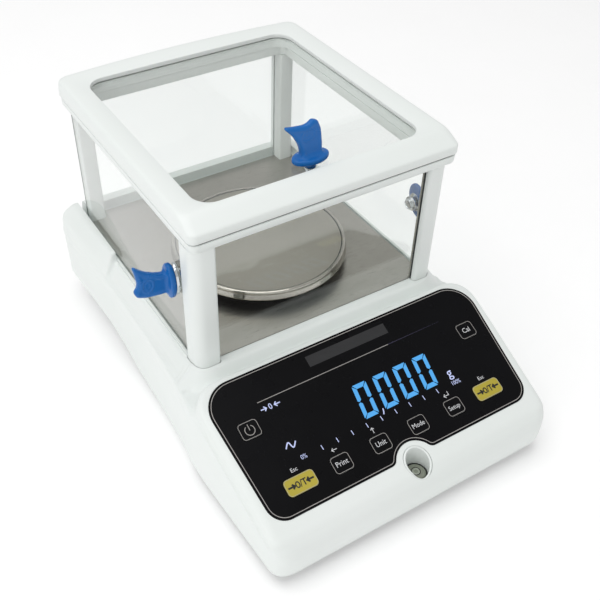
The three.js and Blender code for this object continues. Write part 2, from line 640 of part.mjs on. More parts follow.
function knobBore(name) {
  return placed(drum(0, 0, -8, 4, PANE_BORE, PANE_BORE, 12), KNOB_FRAMES[name]);
}

// ---- Control panel pieces ----
function keyCap(key) {
  return prism(keyShape(key, 0), -0.4, KEY_PROUD).add(plungerBox(key, 0, -PLUNGER.down, -0.3));
}

const KEY_BOARD = { halfW: 94, low: -85, high: -22, bottom: -7, top: -5.4, switchTop: -4.7 };

function buildKeyBoard() {
  const { halfW, low, high, bottom, top, switchTop } = KEY_BOARD;
  const board = box(-halfW, halfW, low, high, bottom, top);
  return KEYS.reduce((all, key) => all.add(drum(key.x, -key.v, top - 0.1, switchTop, 2.4, 2, 12)), board);
}

function buildOverlay() {
  const { proud, thick } = OVERLAY;
  const sheet = overlaySolid(0, proud - thick, proud);
  return KEYS.reduce((all, key) => all.subtract(prism(keyShape(key, GAP), -3, 3)), sheet);
}

// ---- Assembly ----
add('base_tray', buildTray(), 'tray');
add('upper_housing', buildHousing(), 'shell');
TRAY_SCREWS.forEach((place, i) => add(`tray_screw_${i + 1}`, trayScrew(place), 'chrome'));

let deck = prism(roundedRect(-DECK.halfW, DECK.halfW, DECK.front, DECK.back, 1), DECK_Z - DECK.thick, DECK_Z);
POSTS.forEach((post) => {
  deck = deck.subtract(prism(postShape(post.side, post.row, GAP), UNDER, OVER));
  const pillar = prism(postShape(post.side, post.row, 0), POST.bottom, POST.top);
  const grooved = pillar.subtract(fixedGlass(FRONT_GLASS, GAP)).subtract(fixedGlass(REAR_GLASS, GAP));
  add(post.name, grooved, 'shell');
});
add('deck_plate', deck.subtract(drum(0, PAN.y, UNDER, OVER, PAN_HOLE.deck)), 'steel');

add('shield_rail', buildRail(), 'shell');
add('top_frame', buildTopFrame(), 'shell');
add('front_glass', fixedGlass(FRONT_GLASS, 0), 'glass');
add('rear_glass', fixedGlass(REAR_GLASS, 0), 'glass');
add('left_door_track', doorTrack(-1), 'shell');
add('right_door_track', doorTrack(1), 'shell');
add('left_door', doorGlass(-1, 0).subtract(knobBore('left')), 'glass');
add('right_door', doorGlass(1, 0).subtract(knobBore('right')), 'glass');
add('lid_glass', lidSolid(0).subtract(knobBore('lid')), 'glass');
addKnob('left', GLASS, LEFT_KNOB.lift);
addKnob('right', GLASS, RIGHT_KNOB.lift);
addKnob('lid', LID.thick, LID_KNOB.lift);

add('keypad_overlay', buildOverlay(), 'black', panelFrame);
add('key_board', buildKeyBoard(), 'board', panelFrame);
const { x0, x1, v0, v1 } = DISPLAY;
add('display_module', box(x0 + 1, x1 - 1, -v1 + 1, -v0 - 1, -5, -1.3), 'display', panelFrame);
KEYS.forEach((key) => add(key.name, keyCap(key), key.colour, panelFrame));

add('level_bezel', buildLevelBezel(), 'shell');
add('level_vial', drum(LEVEL.x, LEVEL.y, VIAL.bottom, VIAL.top, VIAL.r, VIAL.topR, 24), 'vial');

function slab({ halfW, front, back, bottom, top }) {
  return box(-halfW, halfW, front, back, bottom, top);
}

add('load_cell', buildLoadCell(), 'aluminium');
add('load_cell_mount', slab(CELL_MOUNT), 'aluminium');
add('main_board', slab(MAIN_BOARD), 'board');
add('pan_support', buildPanSupport(), 'rubber');
add('weighing_pan', buildPan(), 'polished');
SOCKETS.forEach((socket) => add(socket.name, socketBlock(socket, 0), 'rubber'));
FEET.forEach((foot) => {
  add(`foot_pad_${foot.name}`, footPad(foot), 'rubber');
  add(`foot_screw_${foot.name}`, footScrew(foot), 'tray');
});

export default balance;
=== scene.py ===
"""Looks of the laboratory balance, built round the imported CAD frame. Lengths here are millimetres, and become
metres only at the last step, in raw_mesh()."""
import math

import bmesh
import bpy
import numpy as np
from mathutils import Matrix, Vector


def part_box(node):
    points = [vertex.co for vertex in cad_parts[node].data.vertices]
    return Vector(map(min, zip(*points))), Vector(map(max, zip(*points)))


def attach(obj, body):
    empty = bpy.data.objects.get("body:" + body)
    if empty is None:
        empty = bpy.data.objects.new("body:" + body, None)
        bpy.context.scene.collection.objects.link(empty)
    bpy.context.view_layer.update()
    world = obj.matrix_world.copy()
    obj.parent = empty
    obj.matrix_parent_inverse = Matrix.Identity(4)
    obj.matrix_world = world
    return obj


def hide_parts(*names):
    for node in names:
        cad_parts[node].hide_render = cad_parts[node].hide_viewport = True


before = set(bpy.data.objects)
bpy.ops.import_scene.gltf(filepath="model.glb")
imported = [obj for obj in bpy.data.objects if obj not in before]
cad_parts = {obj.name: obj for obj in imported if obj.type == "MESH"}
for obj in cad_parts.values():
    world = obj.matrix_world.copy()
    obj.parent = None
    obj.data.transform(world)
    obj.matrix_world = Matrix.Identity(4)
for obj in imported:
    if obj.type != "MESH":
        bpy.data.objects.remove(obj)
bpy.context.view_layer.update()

MM = 0.001


# ---- frame sizes
def span(node):
    """A CAD node's lowest and highest corners in millimetres."""
    low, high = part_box(node)
    return np.array(low) / MM, np.array(high) / MM


DECK_FRONT = span("deck_plate")[0][1]
HOUSING_LOW, HOUSING_HIGH = span("upper_housing")
PAN_LOW, PAN_HIGH = span("weighing_pan")
PAN_Y = (PAN_LOW[1] + PAN_HIGH[1]) / 2
RING_LOW, RING_HIGH = span("top_frame")
RAIL_LOW, RAIL_HIGH = span("shield_rail")
OPENING_FRONT, OPENING_BACK = -30.0, 135.5
LID_LOW, LID_HIGH = span("lid_glass")

SLOPE = math.radians(22.5)
PANEL_ORIGIN = np.array([0.0, -60.7, 77.1])
PANEL_DOWN = np.array([0.0, -math.cos(SLOPE), -math.sin(SLOPE)])
PANEL_OUT = np.array([0.0, -math.sin(SLOPE), math.cos(SLOPE)])
PANEL_LENGTH, PANEL_TOP_HALF, PANEL_BOTTOM_HALF = 91.0, 102.9, 97.2
FILM_PROUD = 0.3
LEVEL_X, LEVEL_Y, LEVEL_RING, LEVEL_BORE = 1.5, -148.5, 9.1, 7.7


def on_panel(points):
    """Points given as (across, down the slope, out of the panel), moved to the part's frame."""
    p = np.asarray(points, float)
    return PANEL_ORIGIN + p[:, :1] * [1, 0, 0] + p[:, 1:2] * PANEL_DOWN + p[:, 2:3] * PANEL_OUT


# ---- mesh helpers
def raw_mesh(name, shape):
    """A Blender mesh in metres from a shape, which is (vertices in millimetres, faces)."""
    verts, faces = shape
    mesh = bpy.data.meshes.new(name)
    mesh.from_pydata((np.asarray(verts, float) * MM).tolist(), [], [list(f) for f in faces])
    return mesh


def link_object(name, data):
    made = bpy.data.objects.new(name, data)
    bpy.context.scene.collection.objects.link(made)
    return made


def to_object(name, shape, material, body, smooth=35, replaces=()):
    """Makes a piece from a shape; smooth is the angle in degrees above which an edge stays sharp."""
    mesh = raw_mesh(name, shape)
    mesh.validate()
    fix = bmesh.new()
    fix.from_mesh(mesh)
    bmesh.ops.remove_doubles(fix, verts=fix.verts, dist=1e-7)
    bmesh.ops.recalc_face_normals(fix, faces=fix.faces)
    fix.to_mesh(mesh)
    fix.free()
    for one in material if isinstance(material, (list, tuple)) else [material]:
        mesh.materials.append(one)
    mesh.polygons.foreach_set("use_smooth", [smooth > 0] * len(mesh.polygons))
    if smooth > 0:
        mesh.set_sharp_from_angle(angle=math.radians(smooth))
    piece = link_object(name, mesh)
    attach(piece, body)
    if replaces:
        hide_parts(*replaces)
    return piece


def add_bevel(piece, width, segments=3):
    bevel = piece.modifiers.new("edges", "BEVEL")
    bevel.width = width * MM
    bevel.segments = segments
    bevel.limit_method = "ANGLE"
    bevel.angle_limit = math.radians(30)
    bevel.harden_normals = False


def loft(loops, closed=False, caps=True):
    """Vertices and faces through loops of equally many points. closed joins the last loop to the first."""
    count = len(loops[0])
    verts = np.concatenate([np.asarray(loop, float) for loop in loops])
    rows = len(loops)
    faces = []
    for row in range(rows if closed else rows - 1):
        start, nxt = row * count, ((row + 1) % rows) * count
        for i in range(count):
            j = (i + 1) % count
            faces.append((start + i, start + j, nxt + j, nxt + i))
    if caps and not closed:
        faces.append(tuple(reversed(range(count))))
        faces.append(tuple(range((rows - 1) * count, rows * count)))
    return verts, faces


def rounded_loop(x0, x1, y0, y1, radius, z, arc=10):
    """A rounded rectangle at height z; radius is one number or four: (x1,y1), (x0,y1), (x0,y0), (x1,y0)."""
    radii = [radius] * 4 if np.isscalar(radius) else radius
    corners = [(x1, y1, 1, 1, 0), (x0, y1, -1, 1, 90), (x0, y0, -1, -1, 180), (x1, y0, 1, -1, 270)]
    points = []
    for (x, y, sx, sy, start), r in zip(corners, radii):
        for k in range(arc + 1):
            a = math.radians(start + 90 * k / arc)
            points.append((x - sx * r + r * math.cos(a), y - sy * r + r * math.sin(a), z))
    return np.array(points)


def full_turn(segments):
    return np.linspace(0, 2 * math.pi, segments, endpoint=False)


def circle(centre, r, z, segments, r_y=None):
    """Points round a level circle, or an oval when r_y is given; r may be an array."""
    a = full_turn(segments)
    r_y = r if r_y is None else r_y
    return np.stack([centre[0] + r * np.cos(a), centre[1] + r_y * np.sin(a), np.full(segments, z)], 1)


def lathe(profile, centre, segments=96):
    """A body turned about the vertical through centre; the profile is (radius, z) pairs from axis to axis."""
    return loft([circle(centre, max(r, 1e-4), z, segments) for r, z in profile])


def fillet_path(points, steps=6, closed=False):
    """A polyline with its corners rounded by arcs. Each point is (a, b, radius)."""
    out = []
    count = len(points)
    for i, (a, b, r) in enumerate(points):
        if r <= 0 or (not closed and i in (0, count - 1)):
            out.append((a, b))
            continue
        p = np.array([a, b], float)
        back = np.array(points[i - 1][:2]) - p
        ahead = np.array(points[(i + 1) % count][:2]) - p
        lengths = np.linalg.norm(back), np.linalg.norm(ahead)
        back, ahead = back / lengths[0], ahead / lengths[1]
        half = math.acos(np.clip(back @ ahead, -1, 1)) / 2
        reach = min(r / math.tan(half), 0.49 * min(lengths))
        r = reach * math.tan(half)
        middle = back + ahead
        centre = p + middle / np.linalg.norm(middle) * r / math.sin(half)
        start, end = p + back * reach - centre, p + ahead * reach - centre
        sweep = math.atan2(start[0] * end[1] - start[1] * end[0], start @ end)
        for k in range(steps + 1):
            c, d = math.cos(sweep * k / steps), math.sin(sweep * k / steps)
            out.append((centre[0] + c * start[0] - d * start[1], centre[1] + d * start[0] + c * start[1]))
    return out


# ---- implicit shapes
def smooth_min(a, b, k):
    h = np.clip(0.5 + 0.5 * (b - a) / k, 0, 1)
    return b + (a - b) * h - k * h * (1 - h)


def smooth_max(a, b, k):
    return -smooth_min(-a, -b, k)


def smoothstep(lo, hi, v):
    t = np.clip((v - lo) / (hi - lo), 0, 1)
    return t * t * (3 - 2 * t)


def rounded_rect_distance(x, y, half_x, half_y, r):
    qx, qy = np.abs(x) - half_x + r, np.abs(y) - half_y + r
    return np.hypot(np.maximum(qx, 0), np.maximum(qy, 0)) + np.minimum(np.maximum(qx, qy), 0) - r


def polygon_distance(u, v, points):
    """Signed distance to a closed polygon, negative inside."""
    best = np.full(np.broadcast(u, v).shape, 1e9, np.float32)
    inside = np.zeros(best.shape, bool)
    for (u0, v0), (u1, v1) in zip(points, points[1:] + points[:1]):
        du, dv = u1 - u0, v1 - v0
        t = np.clip(((u - u0) * du + (v - v0) * dv) / (du * du + dv * dv), 0, 1)
        best = np.minimum(best, np.hypot(u - u0 - t * du, v - v0 - t * dv))
        if dv != 0:
            inside ^= ((v0 > v) != (v1 > v)) & (u < u0 + (v - v0) * du / dv)
    return np.where(inside, -best, best)


def blur(field, sigma, axis):
    """Gaussian blur of a 2-D field along one axis; sigma is in samples."""
    reach = int(3 * sigma) + 1
    kernel = np.exp(-0.5 * (np.arange(-reach, reach + 1) / sigma) ** 2)
    kernel /= kernel.sum()
    pad = [(reach, reach) if a == axis else (0, 0) for a in range(field.ndim)]
    padded = np.pad(field, pad, mode="edge")
    size = field.shape[axis]
    return sum(w * np.take(padded, range(i, i + size), axis=axis) for i, w in enumerate(kernel))


def surface_net(field, origin, step):
    """Vertices and quads of the zero level of a sampled field (negative inside), by naive surface nets."""
    inside = field < 0
    corners = [(i, j, k) for i in (0, 1) for j in (0, 1) for k in (0, 1)]
    shape = np.array(field.shape) - 1

    def shifted(a, offset):
        return a[tuple(slice(o, o + n) for o, n in zip(offset, shape))]

    total = sum(shifted(inside, c).astype(np.int8) for c in corners)
    cells = np.argwhere((total > 0) & (total < 8))
    index = np.full(tuple(shape), -1, np.int64)
    index[tuple(cells.T)] = np.arange(len(cells))
    sums = np.zeros((len(cells), 3))
    counts = np.zeros(len(cells))
    for a in corners:
        for axis in range(3):
            if a[axis]:
                continue
            b = tuple(v + (k == axis) for k, v in enumerate(a))
            fa = field[tuple((cells + a).T)]
            fb = field[tuple((cells + b).T)]
            cross = (fa < 0) != (fb < 0)
            t = np.where(cross, fa / np.where(cross, fa - fb, 1), 0)
            point = cells + np.array(a, float)
            point[:, axis] += t
            sums[cross] += point[cross]
            counts += cross
    verts = np.asarray(origin) + sums / counts[:, None] * step
    faces = []
    for axis in range(3):
        u, v = [k for k in range(3) if k != axis]
        near = [slice(1, n) for n in shape]
        far = list(near)
        near[axis] = slice(0, shape[axis])
        far[axis] = slice(1, shape[axis] + 1)
        a, b = inside[tuple(near)], inside[tuple(far)]
        edges = np.argwhere(a != b)
        starts = a[tuple(edges.T)]
        base = edges + [0 if k == axis else 1 for k in range(3)]
        quad = []
        for du, dv in ((0, 0), (-1, 0), (-1, -1), (0, -1)):
            cell = base.copy()
            cell[:, u] += du
            cell[:, v] += dv
            quad.append(index[tuple(cell.T)])
        quad = np.stack(quad, 1)
        flip = starts ^ (axis == 1)
        quad[flip] = quad[flip][:, ::-1]
        faces.append(quad)
    return verts, np.concatenate(faces)


def cut(piece, cutters):
    """Takes the cutter shapes away from a piece."""
    for shape in cutters:
        mesh = raw_mesh("cutter", shape)
        fix = bmesh.new()
        fix.from_mesh(mesh)
        bmesh.ops.recalc_face_normals(fix, faces=fix.faces)
        fix.to_mesh(mesh)
        fix.free()
        tool = link_object("cutter", mesh)
        boolean = piece.modifiers.new("cut", "BOOLEAN")
        boolean.operation = "DIFFERENCE"
        boolean.solver = "MANIFOLD"
        boolean.object = tool
        depsgraph = bpy.context.evaluated_depsgraph_get()
        result = bpy.data.meshes.new_from_object(piece.evaluated_get(depsgraph))
        piece.modifiers.clear()
        piece.data = result
        bpy.data.objects.remove(tool)


def block(x0, x1, y0, y1, z0, z1):
    """A plain cutter box."""
    corners = [(x0, y0), (x1, y0), (x1, y1), (x0, y1)]
    return loft([[(x, y, z) for x, y in corners] for z in (z0, z1)])


# ---- materials
class Finish:
    """A Principled material with helpers that add noise-driven colour, roughness and bump."""

    def __init__(self, name, color, roughness, metallic=0.0, **inputs):
        self.material = bpy.data.materials.new(name)
        self.material.use_nodes = True
        self.tree = self.material.node_tree
        self.shader = self.tree.nodes["Principled BSDF"]
        self.color, self.roughness = color, roughness
        self.shader.inputs["Base Color"].default_value = (*color, 1)
        self.shader.inputs["Roughness"].default_value = roughness
        self.shader.inputs["Metallic"].default_value = metallic
        for key, value in inputs.items():
            self.shader.inputs[key.replace("_", " ")].default_value = value
        self.place = self.node("ShaderNodeTexCoord").outputs["Object"]
        self.normal = None

    def node(self, kind, **settings):
        made = self.tree.nodes.new(kind)
        for key, value in settings.items():
            setattr(made, key, value)
        return made

    def link(self, a, b):
        self.tree.links.new(a, b)

    def noise(self, per_mm, stretch=(1, 1, 1), detail=3.0):
        """Noise with the given grains per millimetre; stretch lengthens grains along an axis when below 1."""
        mapping = self.node("ShaderNodeMapping")
        mapping.inputs["Scale"].default_value = [s * per_mm / MM for s in stretch]
        self.link(self.place, mapping.inputs["Vector"])
        noise = self.node("ShaderNodeTexNoise")
        noise.inputs["Scale"].default_value = 1
        noise.inputs["Detail"].default_value = detail
        self.link(mapping.outputs["Vector"], noise.inputs["Vector"])
        return noise.outputs["Fac"]

    def remap(self, source, lo, hi, from_lo=0.3, from_hi=0.7):
        remap = self.node("ShaderNodeMapRange")
        for key, value in zip(("From Min", "From Max", "To Min", "To Max"), (from_lo, from_hi, lo, hi)):
            remap.inputs[key].default_value = value
        self.link(source, remap.inputs["Value"])
        return remap.outputs["Result"]

    def tint(self, source, other, amount=1.0, color=None):
        """Blends the base colour towards another where the source is high."""
        mix = self.node("ShaderNodeMix", data_type="RGBA")
        mix.inputs["A"].default_value = (*self.color, 1)
        if color is not None:
            self.link(color, mix.inputs["A"])
        mix.inputs["B"].default_value = (*other, 1)
        self.link(self.remap(source, 0, amount), mix.inputs["Factor"])
        self.link(mix.outputs["Result"], self.shader.inputs["Base Color"])
        return mix.outputs["Result"]

    def vary_roughness(self, source, spread):
        rough = self.remap(source, self.roughness - spread, self.roughness + spread)
        self.link(rough, self.shader.inputs["Roughness"])

    def bump(self, source, height_mm):
        bump = self.node("ShaderNodeBump")
        bump.inputs["Distance"].default_value = height_mm * MM
        bump.inputs["Strength"].default_value = 1.0
        self.link(source, bump.inputs["Height"])
        if self.normal is not None:
            self.link(self.normal, bump.inputs["Normal"])
        self.normal = bump.outputs["Normal"]
        self.link(self.normal, self.shader.inputs["Normal"])


def moulded_plastic(name, color, roughness, other, grain_mm=0.5, grain_height=0.01, **inputs):
    """Injection-moulded plastic: fine spark texture, faint flow mottling and slight dulling."""
    finish = Finish(name, color, roughness, **inputs)
    mottling = finish.noise(0.012, detail=2)
    finish.tint(mottling, other)
    finish.vary_roughness(finish.noise(0.06), 0.05)
    finish.bump(finish.noise(1 / grain_mm, detail=2), grain_height)
    return finish.material


def brushed_metal(name, color, roughness, other, stretch, height):
    """Metal with long fine scratches along one axis and cloudy patches; on the pan's rim its bands and bronze
    patches are painted reflections instead.
    """
    finish = Finish(name, color, roughness, 1.0)
    streaks = finish.noise(4, stretch, detail=4)
    clouds = finish.noise(0.02, detail=3)
    first = finish.tint(clouds, other)
    finish.tint(streaks, other, 0.6, first)
    finish.vary_roughness(streaks, 0.07)
    finish.bump(streaks, height)
    return finish.material


def printed_ink(name, color, roughness=0.35, glow=0.0):
    """Screen-printed ink, a little uneven, that may be lit from behind. The glow shows to the viewer only, so
    that it draws no second image in the front pane."""
    body = tuple((0.35 if glow else 1) * c for c in color)
    finish = Finish(name, body, roughness)
    uneven = finish.noise(0.6)
    finish.tint(uneven, tuple(0.82 * c for c in body))
    finish.bump(finish.noise(5), 0.003)
    if glow:
        finish.shader.inputs["Emission Color"].default_value = (*color, 1)
        path = finish.node("ShaderNodeLightPath")
        finish.link(finish.remap(path.outputs["Is Camera Ray"], 0, glow, 0, 1),
                    finish.shader.inputs["Emission Strength"])
    return finish.material


def pane_glass(name, color, roughness=0.0):
    """Clear glass whose shadow is clear too, so that lamps reach the chamber."""
    finish = Finish(name, color, roughness, Transmission_Weight=1.0, IOR=1.45)
    smudge = finish.noise(0.03, detail=4)
    finish.link(finish.remap(smudge, 0.0, 0.035, 0.45, 0.75), finish.shader.inputs["Roughness"])
    clear = finish.node("ShaderNodeBsdfTransparent")
    clear.inputs["Color"].default_value = (0.96, 0.98, 0.97, 1)
    path = finish.node("ShaderNodeLightPath")
    mix = finish.node("ShaderNodeMixShader")
    output = finish.tree.nodes["Material Output"]
    finish.link(path.outputs["Is Shadow Ray"], mix.inputs["Fac"])
    finish.link(finish.shader.outputs["BSDF"], mix.inputs[1])
    finish.link(clear.outputs["BSDF"], mix.inputs[2])
    finish.link(mix.outputs["Shader"], output.inputs["Surface"])
    return finish.material


def circuit_board(name):
    """Green solder resist over a faint grid of tracks."""
    finish = Finish(name, (0.015, 0.12, 0.05), 0.4)
    bricks = finish.node("ShaderNodeTexBrick")
    bricks.inputs["Scale"].default_value = 180
    bricks.inputs["Mortar Size"].default_value = 0.03
    finish.link(finish.place, bricks.inputs["Vector"])
    finish.tint(bricks.outputs["Fac"], (0.25, 0.3, 0.08), 0.8)
    finish.bump(bricks.outputs["Fac"], 0.03)
    return finish.material


WHITE = moulded_plastic("white_plastic", (0.83, 0.862, 0.845), 0.36, (0.81, 0.85, 0.825))
TRAY = moulded_plastic("tray_plastic", (0.7, 0.72, 0.71), 0.5, (0.66, 0.69, 0.67), 0.8, 0.03)
# Near-black: the real colour of the serial insert and the door seals, and also painted shade in the frame seam,
# the front pane slots, round the vial and in the pan's crease.
DARK_AND_SHADE = moulded_plastic("dark_plastic_and_painted_shade", (0.012, 0.018, 0.016), 0.5, (0.02, 0.024, 0.022))
RUBBER = moulded_plastic("rubber", (0.02, 0.02, 0.021), 0.75, (0.03, 0.03, 0.031), 0.35, 0.03)
BLUE = moulded_plastic("blue_plastic", (0.003, 0.115, 0.4), 0.27, (0.004, 0.135, 0.46), 0.6, 0.012,
                       Specular_IOR_Level=0.35)
FILM = moulded_plastic("panel_film", (0.0025, 0.0025, 0.003), 0.3, (0.003, 0.003, 0.004), 0.3, 0.004,
                       Specular_IOR_Level=0.09)
LABEL = moulded_plastic("blank_label", (0.0115, 0.0115, 0.013), 0.5, (0.014, 0.014, 0.016), 0.3, 0.004)
AMBER = moulded_plastic("amber_film", (0.47, 0.385, 0.035), 0.42, (0.42, 0.345, 0.03), 0.3, 0.004)
STEEL = brushed_metal("brushed_steel", (0.46, 0.44, 0.4), 0.33, (0.41, 0.395, 0.355), (0.02, 1, 1), 0.003)
PAN_TOP = brushed_metal("pan_satin", (0.43, 0.41, 0.365), 0.42, (0.4, 0.38, 0.335), (0.03, 1, 1), 0.0004)
# The pan's rim and skirt: polished steel whose bronze-tinted patches and fine level bands are painted
# reflections of the surroundings.
PAN_RIM = brushed_metal("polished_steel", (0.62, 0.6, 0.56), 0.1, (0.5, 0.47, 0.42), (0.1, 0.1, 6), 0.002)
CHROME = brushed_metal("chrome", (0.72, 0.74, 0.75), 0.09, (0.62, 0.65, 0.67), (0.3, 1, 1), 0.002)
ALUMINIUM = brushed_metal("aluminium", (0.62, 0.63, 0.65), 0.35, (0.55, 0.56, 0.58), (1, 0.05, 1), 0.006)
# Tan: painted shade of the white post's inner face, seen through the front pane.
POST_SHADE = moulded_plastic("post_face_shade", (0.42, 0.4, 0.35), 0.6, (0.36, 0.34, 0.3), 0.3, 0.05)
DISPLAY = moulded_plastic("display_glass", (0.006, 0.008, 0.012), 0.12, (0.01, 0.012, 0.016), 0.4, 0.002)
FLOOR = moulded_plastic("floor_paper", (0.94, 0.94, 0.94), 0.9, (0.93, 0.93, 0.93), 2, 0.01,
                        Emission_Color=(1, 1, 1, 1), Emission_Strength=0.14)
GLASS = pane_glass("glass_clear", (0.985, 1.0, 0.992))
GLASS_EDGE = moulded_plastic("glass_edge", (0.03, 0.075, 0.055), 0.12, (0.05, 0.1, 0.08), 0.6, 0.01)
INK = printed_ink("white_ink", (0.75, 0.76, 0.78))
SILVER = printed_ink("silver_ink", (0.42, 0.4, 0.38), 0.25)
BLACK_INK = printed_ink("black_ink", (0.01, 0.01, 0.008))
LIT = printed_ink("lit_segment", (0.06, 0.31, 0.66), glow=1.0)
LIT_SMALL = printed_ink("lit_mark", (0.5, 0.56, 0.85), glow=0.8)
BOARD = circuit_board("circuit_board")
VIAL = Finish("vial_glass", (0.2, 0.22, 0.17), 0.08, Coat_Weight=1.0).material
BUBBLE = Finish("vial_bubble", (0.3, 0.33, 0.27), 0.05, Coat_Weight=1.0).material


# ---- housing
# Stations along Y of the side face: half-width of the housing.
HALF_WIDTHS = [
    (-162.5, 105.4), (-144.7, 105.6), (-120, 106.6), (-90, 107.8), (-66, 108.5), (-57.5, 107.9),
    (-44, 105.6), (-30, 104.2), (0, 102.6), (40, 101.9), (70, 102), (100, 103.2), (125, 105.2), (148, 106.6),
    (162.5, 106),
]
# Middle section (y, z) of the lower body: nose, panel, valley, rear, then back along the foot edge.
SIDE_OUTLINE = [
    (-144.7, 42.3), (-60.7, 77.1), (-57.2, 77.3), (-55.4, 75.2), (-53.2, 70.6), (-49, 66), (-42, 62.3),
    (80, 62), (120, 64.5), (148, 66), (158, 64), (162.5, 58), (162.5, 33), (159, 25), (153, 21.5),
    (120, 20.5), (84, 17), (70, 14), (40, 6), (0, 4), (-60, 4.6), (-150, 5.4), (-156.5, 6.4), (-159.8, 9.6),
    (-161.8, 15), (-162.3, 20), (-162, 26), (-159.3, 32.6), (-153.6, 38.3),
]
HOUSING_STEP = 0.9  # grid of the housing's skin
KNOB_STEP = 0.42  # grid of a knob's skin


def housing_field(x, y, z):
    """Signed field of the housing's outer skin on broadcastable grids, negative inside."""
    yy, zz = y[0, :, :1], z[0, :1, :]
    side = polygon_distance(yy, zz, SIDE_OUTLINE)
    step = float(yy[1, 0] - yy[0, 0])
    side = blur(blur(side, 0.9 / step, 0), 0.9 / step, 1)[None]
    fine = np.linspace(-170, 170, 681)
    widths = blur(np.interp(fine, *zip(*HALF_WIDTHS))[None], 14, 1)[0]
    half = np.interp(y, fine, widths)
    plan = rounded_rect_distance(x, y, half, 162.5, np.where(y < 0, 15.0, 11.0))
    draft = 0.018 * np.clip(40 - z, 0, 40)
    edge = 2.2 + 4.2 * (1 - smoothstep(-62, -52, y))
    body = smooth_max(side, plan + draft, edge)
    # A fine ledge line runs down each side of the console, below its rounded edge.
    ledge = 77.1 + (y + 60.7) * math.tan(SLOPE) - 7.5
    body = np.where(y < -56, smooth_max(body, 0.85 - np.hypot(np.abs(x) - half + 0.1, z - ledge), 0.6), body)
    # The console's upper corners are rounded in the plane of the panel, down to the valley.
    down = (PANEL_ORIGIN[1] - y) * math.cos(SLOPE) + (PANEL_ORIGIN[2] - z) * math.sin(SLOPE)
    corner = np.hypot(np.clip(np.abs(x) - 83.9, 0, None), np.clip(19 - down, 0, None)) - 24.4
    corner = smooth_min(smooth_min(corner, z - 63.5, 3), -46 - y, 3)
    body = smooth_max(body, corner, 2.5)

    # The plinth that carries the deck: wider round the front posts, a little lower beside the doors.
    beside = smoothstep(-36, -32.5, y)
    top = 75.5 - 1.3 * beside
    mid_y, half_y = 57.5, 103.0
    foot = rounded_rect_distance(x, y - mid_y, 94.4 - 2.4 * beside, half_y, 15)
    lean = np.where(y < -30, 0.7, 0.62)
    plinth = smooth_max(z - top, (foot - (75.5 - z) * lean) * 0.83, 1.6)
    plinth = smooth_max(plinth, 52 - z, 1)
    body = smooth_min(body, plinth, 3.2)

    # The guard round the back half, with a sloped shoulder outside its flat top.
    lean = np.interp(y, [84, 120, 146, 162], [0.45, 0.74, 1.2, 1.25])
    crest = np.interp(y, [84, 146, 162], [94.0, 95.4, 95.4])
    shoulder = (np.abs(x) - crest - (82 - z) * lean) / np.sqrt(1 + lean**2)
    end = (84 - y) - (82 - z) * 0.12
    tail = (y - 157.5 - (82 - z) * 0.35) * 0.94
    guard = smooth_max(z - 82, shoulder, 1.8)
    guard = smooth_max(smooth_max(guard, tail, 5), end, 1.4)
    inside = smooth_max(body, plan - 0.4, 1)
    guard = smooth_max(guard, plan + 0.2, 3)
    guard = smooth_max(guard, 60 - z, 1)
    return smooth_min(inside, guard, 2.4)


def grid_axes(low, high, step):
    axes = [np.arange(a, b + step, step, dtype=np.float32) for a, b in zip(low, high)]
    return axes[0][:, None, None], axes[1][None, :, None], axes[2][None, None, :]


def housing_solid():
    low, high = HOUSING_LOW - 3, HOUSING_HIGH + 3
    axes = grid_axes(low, high, HOUSING_STEP)
    return surface_net(housing_field(*axes), low, HOUSING_STEP)


def post_outline(side, row, z, grow=0.0):
    """Plan outline of a shield post: the rear ones are bars, the front ones angles round the corner."""
    low, high = span(f"post_{row}_{'left' if side < 0 else 'right'}")
    x0, x1 = (low[0], high[0]) if side > 0 else (-high[0], -low[0])
    x0, x1, y0, y1 = x0 - grow, x1 + grow, low[1] - grow, high[1] + grow
    if row == "front":
        leaf, wall = 7.2 + 2 * grow, 5.6 + 2 * grow
        corners = [(x0, y0, 2.2), (x1, y0, 8.5), (x1, y1, 1.2), (x1 - wall, y1, 1.2),
                   (x1 - wall, y0 + leaf, 1.6), (x0, y0 + leaf, 1.2)]
    else:
        corners = [(x0, y0, 1.2), (x1, y0, 1.6), (x1, y1, 2.6), (x0, y1, 1.2)]
    loop = [(side * x, y, z) for x, y in fillet_path(corners, 8, True)]
    return loop if side > 0 else loop[::-1]


def panel_height(y):
    return PANEL_ORIGIN[2] + (y - PANEL_ORIGIN[1]) * math.tan(SLOPE)


def hollow_solid(wall=3.4):
    """The space inside the housing, open below."""
    stations = [(-157, 99, 31, 28)]
    for y in (-150, -120, -90, -66, -61):
        half = float(np.interp(y, *zip(*HALF_WIDTHS))) - wall
        stations.append((y, half, panel_height(y) - wall - (2 if y < -145 else 0), 12))
    stations += [(-56, 104, 66, 12), (-50, 100, 64, 10), (-42, 98, 69.3, 14), (80, 98, 69.3, 14),
                 (146, 101, 69.3, 12), (157, 98, 62, 10)]
    loops = []
    for y, half, top, drop in stations:
        loops.append([(-half, y, -5), (half, y, -5), (half, y, top - drop), (half - drop, y, top),
                      (drop - half, y, top), (-half, y, top - drop)])
    return loft(loops)


